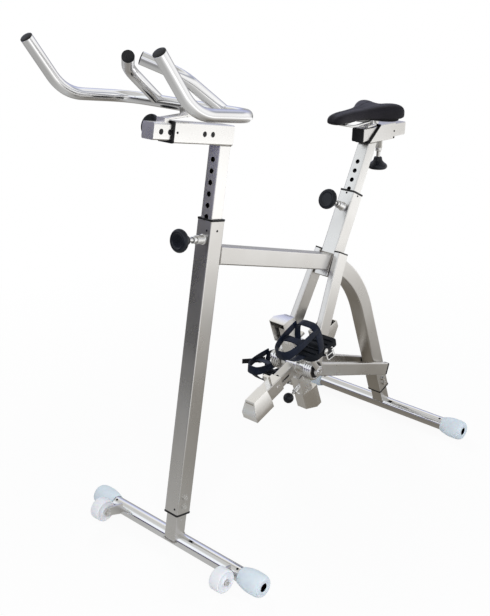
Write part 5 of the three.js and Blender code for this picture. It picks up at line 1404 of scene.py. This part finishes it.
def crank_mesh(side):
    tip_x, tip_z = crank_tip(side)
    tip_point = at(tip_x, 0, tip_z)
    out = Vector((0, side, 0))
    arm_run = (tip_point - axle_point).normalized()
    across = out.cross(arm_run)
    rings = []
    for step in range(21):
        share = step / 20
        waist = 9.6 - 2.4 * math.sin(math.pi * share) - 1.0 * share
        thick = 4.6 - 0.7 * share
        centre = axle_point.lerp(tip_point, 0.04 + 0.92 * share) + out * CRANK_MIDDLE
        rings.append(square_ring(centre, across, out, mm(waist), mm(3.2), mm(thick), steps=5))
    arm = rings_to_mesh("crank_arm", rings)
    eye = [
        (0, 80.2), (14.6, 80.2), (16, 81.6), (16, 89.4), (14.6, 91), (12.4, 91), (11.4, 90), (11.2, 92.2),
        (10.2, 93.9), (5.4, 93.9), (4.8, 92.6), (0, 92.6),
    ]
    tip_eye = [
        (0, 80.2), (11.6, 80.2), (13, 81.6), (13, 89.4), (11.6, 91), (8.4, 91), (7, 91.8), (7, 96.6),
        (6.8, 97.2), (6.8, 166), (6, 167), (0, 167),
    ]
    eyes = turned_mesh("eye", eye, axle_point, out, 48), turned_mesh("tip", tip_eye, tip_point, out, 40)
    return joined("crank", arm, *eyes)


for side, word in SIDES:
    add_piece(
        f"crank_arm_{word}", crank_mesh(side), "polished_steel", "paddle_wheel", slot="satin_steel",
        stands_for=[f"crank_{word}"], smooth_angle=40,
    )
print("cranks of", CRANK_LONG, "mm")

# %% [markdown]
# The pedals are moulded in one piece: a thick plate with rounded corners, a tube through its
# middle for the spindle, ribs on top that grip a wet foot, and pockets below that save
# plastic. The plate is a stack of outline rings, so that its edge can be rolled over, and the
# pockets are taken away from it in the same way as the pin holes.

# %% Pedal places and outline
PEDAL_PLACES = {-1: ((449.2, -136, 487.1), math.radians(-9)), 1: ((614.8, 136, 236.9), math.radians(8))}
PLATE_CORNERS = [(56, 39, 12), (-56, 39, 24), (-56, -39, 24), (56, -39, 12)]
PLATE_EDGE = [(1.8, -9), (0.5, -8.5), (0, -7.4), (0, 7.2), (0.5, 8.4), (1.8, 9)]
POCKETS = [(29.1, 38, 54.6), (-31.4, 33.6, 48.4)]


def pedal_point(side, x, y, z):
    place, tilt = PEDAL_PLACES[side]
    forward = x * math.cos(tilt) + z * math.sin(tilt)
    upward = z * math.cos(tilt) - x * math.sin(tilt)
    return at(place[0] + forward, place[1] + y, place[2] + upward)


def plate_ring(side, inset, height):
    ring = []
    for quarter, (x, y, radius) in enumerate(PLATE_CORNERS):
        middle_x, middle_y = x - math.copysign(radius, x), y - math.copysign(radius, y)
        for step in range(9):
            turn = math.pi / 2 * (quarter + step / 8)
            away = radius - inset
            corner_x, corner_y = middle_x + away * math.cos(turn), middle_y + away * math.sin(turn)
            ring.append(pedal_point(side, corner_x, corner_y, height))
    return ring


def pedal_axes(side):
    origin = pedal_point(side, 0, 0, 0)
    along, above = (pedal_point(side, *place) - origin for place in ((1000, 0, 0), (0, 0, 1000)))
    return along.normalized(), ACROSS_BIKE, above.normalized()


print("pedals stand at", [place for place, tilt in PEDAL_PLACES.values()])

# %% [markdown]
# A grip rib is a row of teeth, and every tooth adds four rings to it. The pockets are rounded
# boxes cut out of the plate's underside, and thin ribs stand in them. A nut closes the outer
# end of each spindle.

# %% Pedals
RIB_PITCH, TOOTH_PITCH = 18.67, 9.6


def grip_rib(side, x):
    rows = []
    for tooth in range(-3, 4):
        for y, drop in ((-4.6, 1.6), (-3.8, 0), (3.8, 0), (4.6, 1.6)):
            crest, shoulder = 12 - drop, 11.2 - drop
            profile = [(-1.8, 8), (-1.5, shoulder), (-0.8, crest), (0.8, crest), (1.5, shoulder), (1.8, 8)]
            rows.append([pedal_point(side, x + dx, tooth * TOOTH_PITCH + y, z) for dx, z in profile])
    return rings_to_mesh("grip_rib", rows)


def pedal_mesh(side):
    along, across, above = pedal_axes(side)
    plate = rings_to_mesh("plate", [plate_ring(side, inset, height) for inset, height in PLATE_EDGE])
    pockets = [
        square_bar(
            "pocket", pedal_point(side, x, 0, -12), pedal_point(side, x, 0, -3.6), along,
            mm(long / 2), mm(3), wide=mm(wide / 2),
        )
        for x, long, wide in POCKETS
    ]
    parts = [cut_away(plate, joined("pockets", *pockets))]
    parts += [grip_rib(side, RIB_PITCH * step) for step in range(-2, 3)]
    for x, long, wide in POCKETS:
        for y in (-14, 0, 14):
            start, end = pedal_point(side, x - long / 2, y, -6.2), pedal_point(side, x + long / 2, y, -6.2)
            parts.append(square_bar("pocket_rib", start, end, above, mm(2.6), mm(0.4), wide=mm(0.9)))
    tube = [(7.2, -39), (13, -39), (14, -38), (14, 38), (13, 39), (7.2, 39), (7.2, -39)]
    parts.append(turned_mesh("spindle_tube", tube, pedal_point(side, 0, 0, 0), across, 40))
    return joined("pedal_plate", *parts)


NUT_PROFILE = [(0, 0.6), (8.6, 0.6), (8.6, 1.6), (7.4, 1.8), (6.6, 3.4), (4.4, 4.6), (0, 5)]
for side, word in SIDES:
    body = f"pedal_{word}"
    piece = add_piece(
        f"pedal_plate_{word}", pedal_mesh(side), "pedal_plastic", body, stands_for=[body], smooth_angle=40,
    )
    keep_flat_faces(piece)
    outside, out = pedal_point(side, 0, side * 39, 0), ACROSS_BIKE * side
    turned_piece(f"spindle_nut_{word}", NUT_PROFILE, outside, out, "bolt_steel", body, 32, smooth_angle=30)
print("pedal plates")

# %% [markdown]
# Each foot is held by one moulded rubber cage. A strap crosses the instep, a broad rim runs
# from it round the toes, a web joins the two sides of that rim, and a tongue comes up from
# the plate's front edge. A band is only a rounded rectangle that follows a line, turning so
# that its flat side stays against the foot.

# %% Bands
BAND_THICK, BAND_CORNER = 4.0, 1.5


def evenly(points, count):
    lengths = [0.0]
    for first, second in zip(points, points[1:]):
        lengths.append(lengths[-1] + (second - first).length)
    places, span = [], 0
    for step in range(count + 1):
        goal = lengths[-1] * step / count
        while span < len(points) - 2 and lengths[span + 1] < goal:
            span += 1
        part = (goal - lengths[span]) / max(lengths[span + 1] - lengths[span], 1e-9)
        places.append(points[span].lerp(points[span + 1], part))
    return places


def band(name, places, wide_axis, widths, thick=BAND_THICK):
    rings = []
    for index, (place, run) in enumerate(zip(places, runs_along(places))):
        flat = (wide_axis - run * wide_axis.dot(run)).normalized()
        share = index / (len(places) - 1)
        width = widths[0] + (widths[1] - widths[0]) * (1 - abs(2 * share - 1))
        section = mm(width / 2), mm(BAND_CORNER), mm(thick / 2)
        rings.append(square_ring(place, flat, run.cross(flat), *section, steps=3))
    return rings_to_mesh(name, rings)


print("bands are", BAND_THICK, "mm thick")

# %% [markdown]
# The four lines of a cage are given in its pedal's own millimetres. A sine raised to a power
# below one makes the arch of the instep and the round of the toes squarer than a circle, as a
# foot is.

# %% Foot cages
TONGUE_LINE = [(-140, 57), (-135, 46), (-126, 36), (-113, 26), (-98, 17), (-83, 9), (-68, 5.5), (-50, 4.6)]


def cage_lines(side):
    turns = [math.pi * step / 240 for step in range(241)]
    instep = [pedal_point(side, -20, 36.5, 7)]
    for turn in turns:
        wide, high = 41 * signed_power(math.cos(turn), 0.5), max(90 * math.sin(turn) ** 0.62, 20)
        instep.append(pedal_point(side, -20, wide, high))
    instep.append(pedal_point(side, -20, -36.5, 7))
    rim = []
    for t in turns:
        reach = math.sin(t) ** 0.7
        wide, high = 37.5 * signed_power(math.cos(t), 0.62), 57 + 25 * (1 - reach) ** 0.9
        rim.append(pedal_point(side, -22 - 120 * reach, wide, high))
    web = [pedal_point(side, -82, 33 * math.cos(t), 67 + 4 * math.sin(t)) for t in turns]
    tongue = [pedal_point(side, x, 0, z) for x, z in TONGUE_LINE]
    return evenly(instep, 60), evenly(rim, 72), evenly(web, 24), evenly(tongue, 24)


def foot_cage(side):
    along, across, above = pedal_axes(side)
    instep, rim, web, tongue = cage_lines(side)
    parts = [
        band("instep", instep, along, (22, 26)), band("rim", rim, above, (17, 27)),
        band("web", web, along, (30, 23), 3.4), band("tongue", tongue, across, (22, 26), 3.6),
    ]
    return joined("foot_cage", *parts)


for side, word in SIDES:
    add_piece(
        f"foot_cage_{word}", foot_cage(side), "strap_rubber", f"pedal_{word}",
        stands_for=[f"foot_strap_{word}"], smooth_angle=50,
    )

# %% [markdown]
# A small wire buckle clips the cage to the near edge of each plate, and on the far pedal the
# strap's stiff free end sticks straight out of its buckle.

# %% Buckles


def wire_loop(name, centre, wide_axis, tall_axis, wide, tall, wire=1.5):
    corners = square_ring(centre, wide_axis, tall_axis, mm(wide / 2), mm(4), mm(tall / 2), steps=6)
    middle = (corners[0] + corners[-1]) / 2
    return swept_tube(name, [middle, *corners, middle], mm(wire), 14)


for side, word in SIDES:
    along, across, above = pedal_axes(side)
    body, out = f"pedal_{word}", side * 43.2
    hang = (above * 0.97 + across * (-0.24 * side)).normalized()
    loop = wire_loop("loop", pedal_point(side, 13, out, -13), along, hang, 32, 27)
    roller = swept_tube("roller", [pedal_point(side, x, out, -13) for x in (-2, 28)], mm(2.3), 16)
    buckle = joined("edge_buckle", loop, roller)
    add_piece(f"edge_buckle_{word}", buckle, "bolt_steel", body, smooth_angle=50)
    tab_line = [pedal_point(side, 13, side * y, z) for y, z in ((34, 3), (40.5, 1), (42.4, -8), (45.6, -24))]
    tab = band("edge_tab", evenly(tab_line, 16), along, (19, 19), 2.4)
    add_piece(f"edge_tab_{word}", tab, "black_plastic", body, smooth_angle=50)
print("edge buckles")

# %% [markdown]
# The free end of the far strap is a stiff band, and a second, smaller wire loop clips it.

# %% Strap end
END_POINTS = [(-44, 32, 60), (-62, 42, 58), (-80, 54, 56.5), (-108, 71, 56)]
along, across, above = pedal_axes(1)
end_run = [pedal_point(1, *place) for place in END_POINTS]
strap_end = band("strap_end", evenly(end_run, 20), above, (15, 15), 5)
add_piece("strap_end_right", strap_end, "black_plastic", "pedal_right", smooth_angle=50)
along_strap = (end_run[1] - end_run[0]).normalized()
clip = wire_loop("clip", pedal_point(1, -56, 40, 58.5), along_strap, above, 14, 20, 1.4)
add_piece("strap_clip_right", clip, "bolt_steel", "pedal_right", smooth_angle=50)
print("strap end and clip")

# %% [markdown]
# Every joint of the frame is welded. A weld of this kind is a row of small overlapping
# ripples. Its path is the outline of one tube slid onto the face of the other, and along it
# runs a thin tube that swells and shrinks every few millimetres.

# %% Weld beads
BEAD, RIPPLE, SWELLS = 2.3, 2.9, (0.16, -0.02, -0.14)
WELD_HINT = Vector((0.31, 0.52, 0.79))


def weld(name, line, body="frame", closed=True, size=BEAD):
    track = list(line) + ([line[0]] if closed else [])
    long = sum((second - first).length for first, second in zip(track, track[1:])) * 1000
    places = evenly(track, max(int(long / (RIPPLE / 3)), 12))
    if closed:
        places = places[:-1]
    rings = []
    for index, (place, run) in enumerate(zip(places, runs_along(places, closed))):
        swell = size * (1.0 + SWELLS[index % 3] + 0.06 * math.sin(index * 1.7))
        rings.append(round_ring(place, *axes_for(run, WELD_HINT), mm(swell), 8))
    mesh = rings_to_mesh(name, rings, close_loop=closed)
    add_piece(f"{name}_weld", mesh, "weld_steel", body, slot="satin_steel", smooth_angle=60)


def slid_to_face(ring, run, face_point, face_out):
    return [corner + run * ((face_point - corner).dot(face_out) / run.dot(face_out)) for corner in ring]


def slid_to_round(ring, run, axis_point, radius):
    line = []
    for corner in ring:
        offset = corner - axis_point
        offset.y = 0
        near = offset.dot(run)
        inside = max(near * near - offset.length_squared + radius * radius, 0)
        line.append(corner - run * (near - math.sqrt(inside)))
    return line


print("weld beads of radius", BEAD, "mm")

# %% [markdown]
# The main tube, the arch, the two sleeves and the stubs get their welds here. Each line is
# the end of one tube, slid along that tube until it meets the face or the round of the next.

# %% Welds of the tubes
main_front = front_foot_point + front_along * mm(722.7)
main_back = seat_tube_foot + seat_along * mm(47.6)
main_run = (main_back - main_front).normalized()
main_ring = square_ring(main_front, Vector((-main_run.z, 0, main_run.x)), ACROSS_BIKE, mm(24), mm(5))
post_face, seat_tube_face = main_front + front_across * TUBE_FACE, main_back - seat_across * TUBE_FACE
weld("main_to_post", slid_to_face(main_ring, main_run, post_face, front_across))
weld("main_to_seat_tube", slid_to_face(main_ring, main_run, seat_tube_face, seat_across))
weld("arch_to_seat_tube", outer_rings[-1])
post_ring = square_ring(sleeve_point - front_along * TUBE_FACE, front_across, ACROSS_BIKE, INNER_FACE, mm(4))
weld("post_to_sleeve", post_ring, "handlebar_mast")
seat_ring = square_ring(seat_tube_foot + seat_along * mm(400), seat_across, ACROSS_BIKE, INNER_FACE, mm(4))
seat_line = slid_to_face(seat_ring, seat_along, seat_sleeve_point + seat_down * TUBE_FACE, seat_down)
weld("seat_post_to_sleeve", seat_line, "seat_mast")
for end, (bar_x, foot, along, across) in bike_ends.items():
    stub_ring = square_ring(foot, across, ACROSS_BIKE, INNER_FACE, mm(4), steps=6)
    weld(f"{end}_stub", slid_to_round(stub_ring, along, at(bar_x, 0, FOOT_HEIGHT), mm(FOOT_RADIUS)))
print("welds of the tubes")

# %% [markdown]
# The struts and the chain stays lie flat against the frame's tubes, so straight beads run
# along their upper and lower edges there.

# %% Welds of struts and stays
STAY_FRONT, STAY_REAR = (550, 63.5, 354), (955.2, 35.25, 184.2)
SIDE_BEAD_OUT = 25.6


def stay_axes(side):
    rear, front = sided(STAY_REAR, side), sided(STAY_FRONT, side)
    run = (rear - front).normalized()
    return rear, run, Vector((-run.z, 0, run.x)).normalized()


def straight_weld(name, line, side):
    for corner in line:
        corner.y = side * mm(SIDE_BEAD_OUT)
    weld(name, line, closed=False, size=2.0)


for side, word in SIDES:
    foot, top, along, across = strut_axes(side)
    for edge, turn in (("front", -1), ("back", 1)):
        line = [top + across * (STRUT_HALF * turn) - along * mm(reach) for reach in (15, 69)]
        straight_weld(f"strut_{word}_{edge}", line, side)
    rear, run, rise = stay_axes(side)
    for edge, turn in (("upper", 1), ("lower", -1)):
        line = [rear - run * mm(reach) + rise * mm(20 * turn) for reach in (58, 12)]
        straight_weld(f"stay_{word}_{edge}", line, side)
print("welds of struts and stays")

# %% [markdown]
# The chain stays end in black plugs, and small dark rivets keep the bushes in their tubes.
# Two more close the back of the seat sleeve.

# %% Plugs and rivets
for side, word in SIDES:
    rear, run, rise = stay_axes(side)
    plug_ends = rear - run * mm(0.4), rear + run * mm(9)
    plug = square_bar("stay_plug", *plug_ends, rise, mm(20.2), mm(3.6), wide=mm(10.2))
    soften(add_piece(f"stay_plug_{word}", plug, "black_plastic", "frame", smooth_angle=50), mm(0.8))
RIVET_SIZE = 0.85
post_low, post_high = front_foot_point + NEAR_SIDE * mm(13), front_foot_point + NEAR_SIDE * mm(12)
sleeve_upper, sleeve_lower = seat_sleeve_point + seat_down * mm(1), seat_sleeve_point + seat_down * mm(20)
rivets = [
    ("post_top_front", "frame", on_face(post_high, front_along, 786, -front_across)),
    ("post_top_near", "frame", on_face(front_foot_point, front_along, 786, NEAR_SIDE)),
    ("post_foot_front", "frame", on_face(post_low, front_along, 14, -front_across)),
    ("front_stub_near", "frame", on_face(front_foot_point, front_along, -22, NEAR_SIDE, INNER_FACE)),
    ("sleeve_mouth_near", "handlebar_mast", on_face(sleeve_point, sleeve_back, -177, NEAR_SIDE)),
    ("seat_tube_front", "frame", on_face(seat_tube_foot, seat_along, 256, -seat_across)),
    ("seat_tube_near", "frame", on_face(seat_tube_foot, seat_along, 256, NEAR_SIDE)),
    ("seat_sleeve_upper", "seat_mast", on_face(sleeve_upper, seat_back, 127, NEAR_SIDE)),
    ("seat_sleeve_lower", "seat_mast", on_face(sleeve_lower, seat_back, 127, NEAR_SIDE)),
]
for name, body, (place, outwards) in rivets:
    finish = "bolt_steel" if "stub" in name else "black_plastic"
    small_screw(f"{name}_rivet", place, outwards, finish, body, RIVET_SIZE)
print(len(rivets), "rivets")

# %% [markdown]
# Black discs sit a little way down the holes in the cross sleeve and its slider, where no pin
# goes: painted shade that keeps those holes dark. The other holes stay open for the pins. A
# slim black core deep inside each of those tubes, out of the pins' reach, is painted shade as
# well: it keeps the holes as dark as the inside of a long tube is.

# %% Painted shade in the holes
HOLE_SHADE_DISC = [(0, -1.0), (3, -1.2), (5.6, -1.0), (6.9, -1.4), (6.9, -2.4), (0, -2.4)]
for name, places, body in (
    ("sleeve_window", window_holes, "handlebar_mast"), ("slider_hole", slider_holes, "handlebar_carriage"),
):
    # black discs down the holes: painted shade
    discs = [turned_mesh("plug", HOLE_SHADE_DISC, place, out, 24) for place, out in places]
    add_piece(f"{name}_shade_discs", joined("hole_shade_discs", *discs), "black_plastic", body, smooth_angle=50)
SHADE_CORE_HALF, SHADE_CORE_OVER = mm(9.5), mm(12)
for name, places, across, body in (
    ("handlebar_post", post_holes, front_across, "handlebar_mast"),
    ("seat_post", seat_holes, seat_across, "seat_mast"),
    ("seat_slider", saddle_holes, seat_down, "seat_carriage"),
):
    first, last = (place - out * INNER_FACE for place, out in (places[0], places[-1]))
    over = (last - first).normalized() * SHADE_CORE_OVER
    # black core inside the tube: painted shade
    painted_shade_core = square_bar(f"{name}_core", first - over, last + over, across, SHADE_CORE_HALF, mm(2))
    add_piece(f"{name}_core", painted_shade_core, "black_plastic", body, smooth_angle=50)
print("plugs and cores")
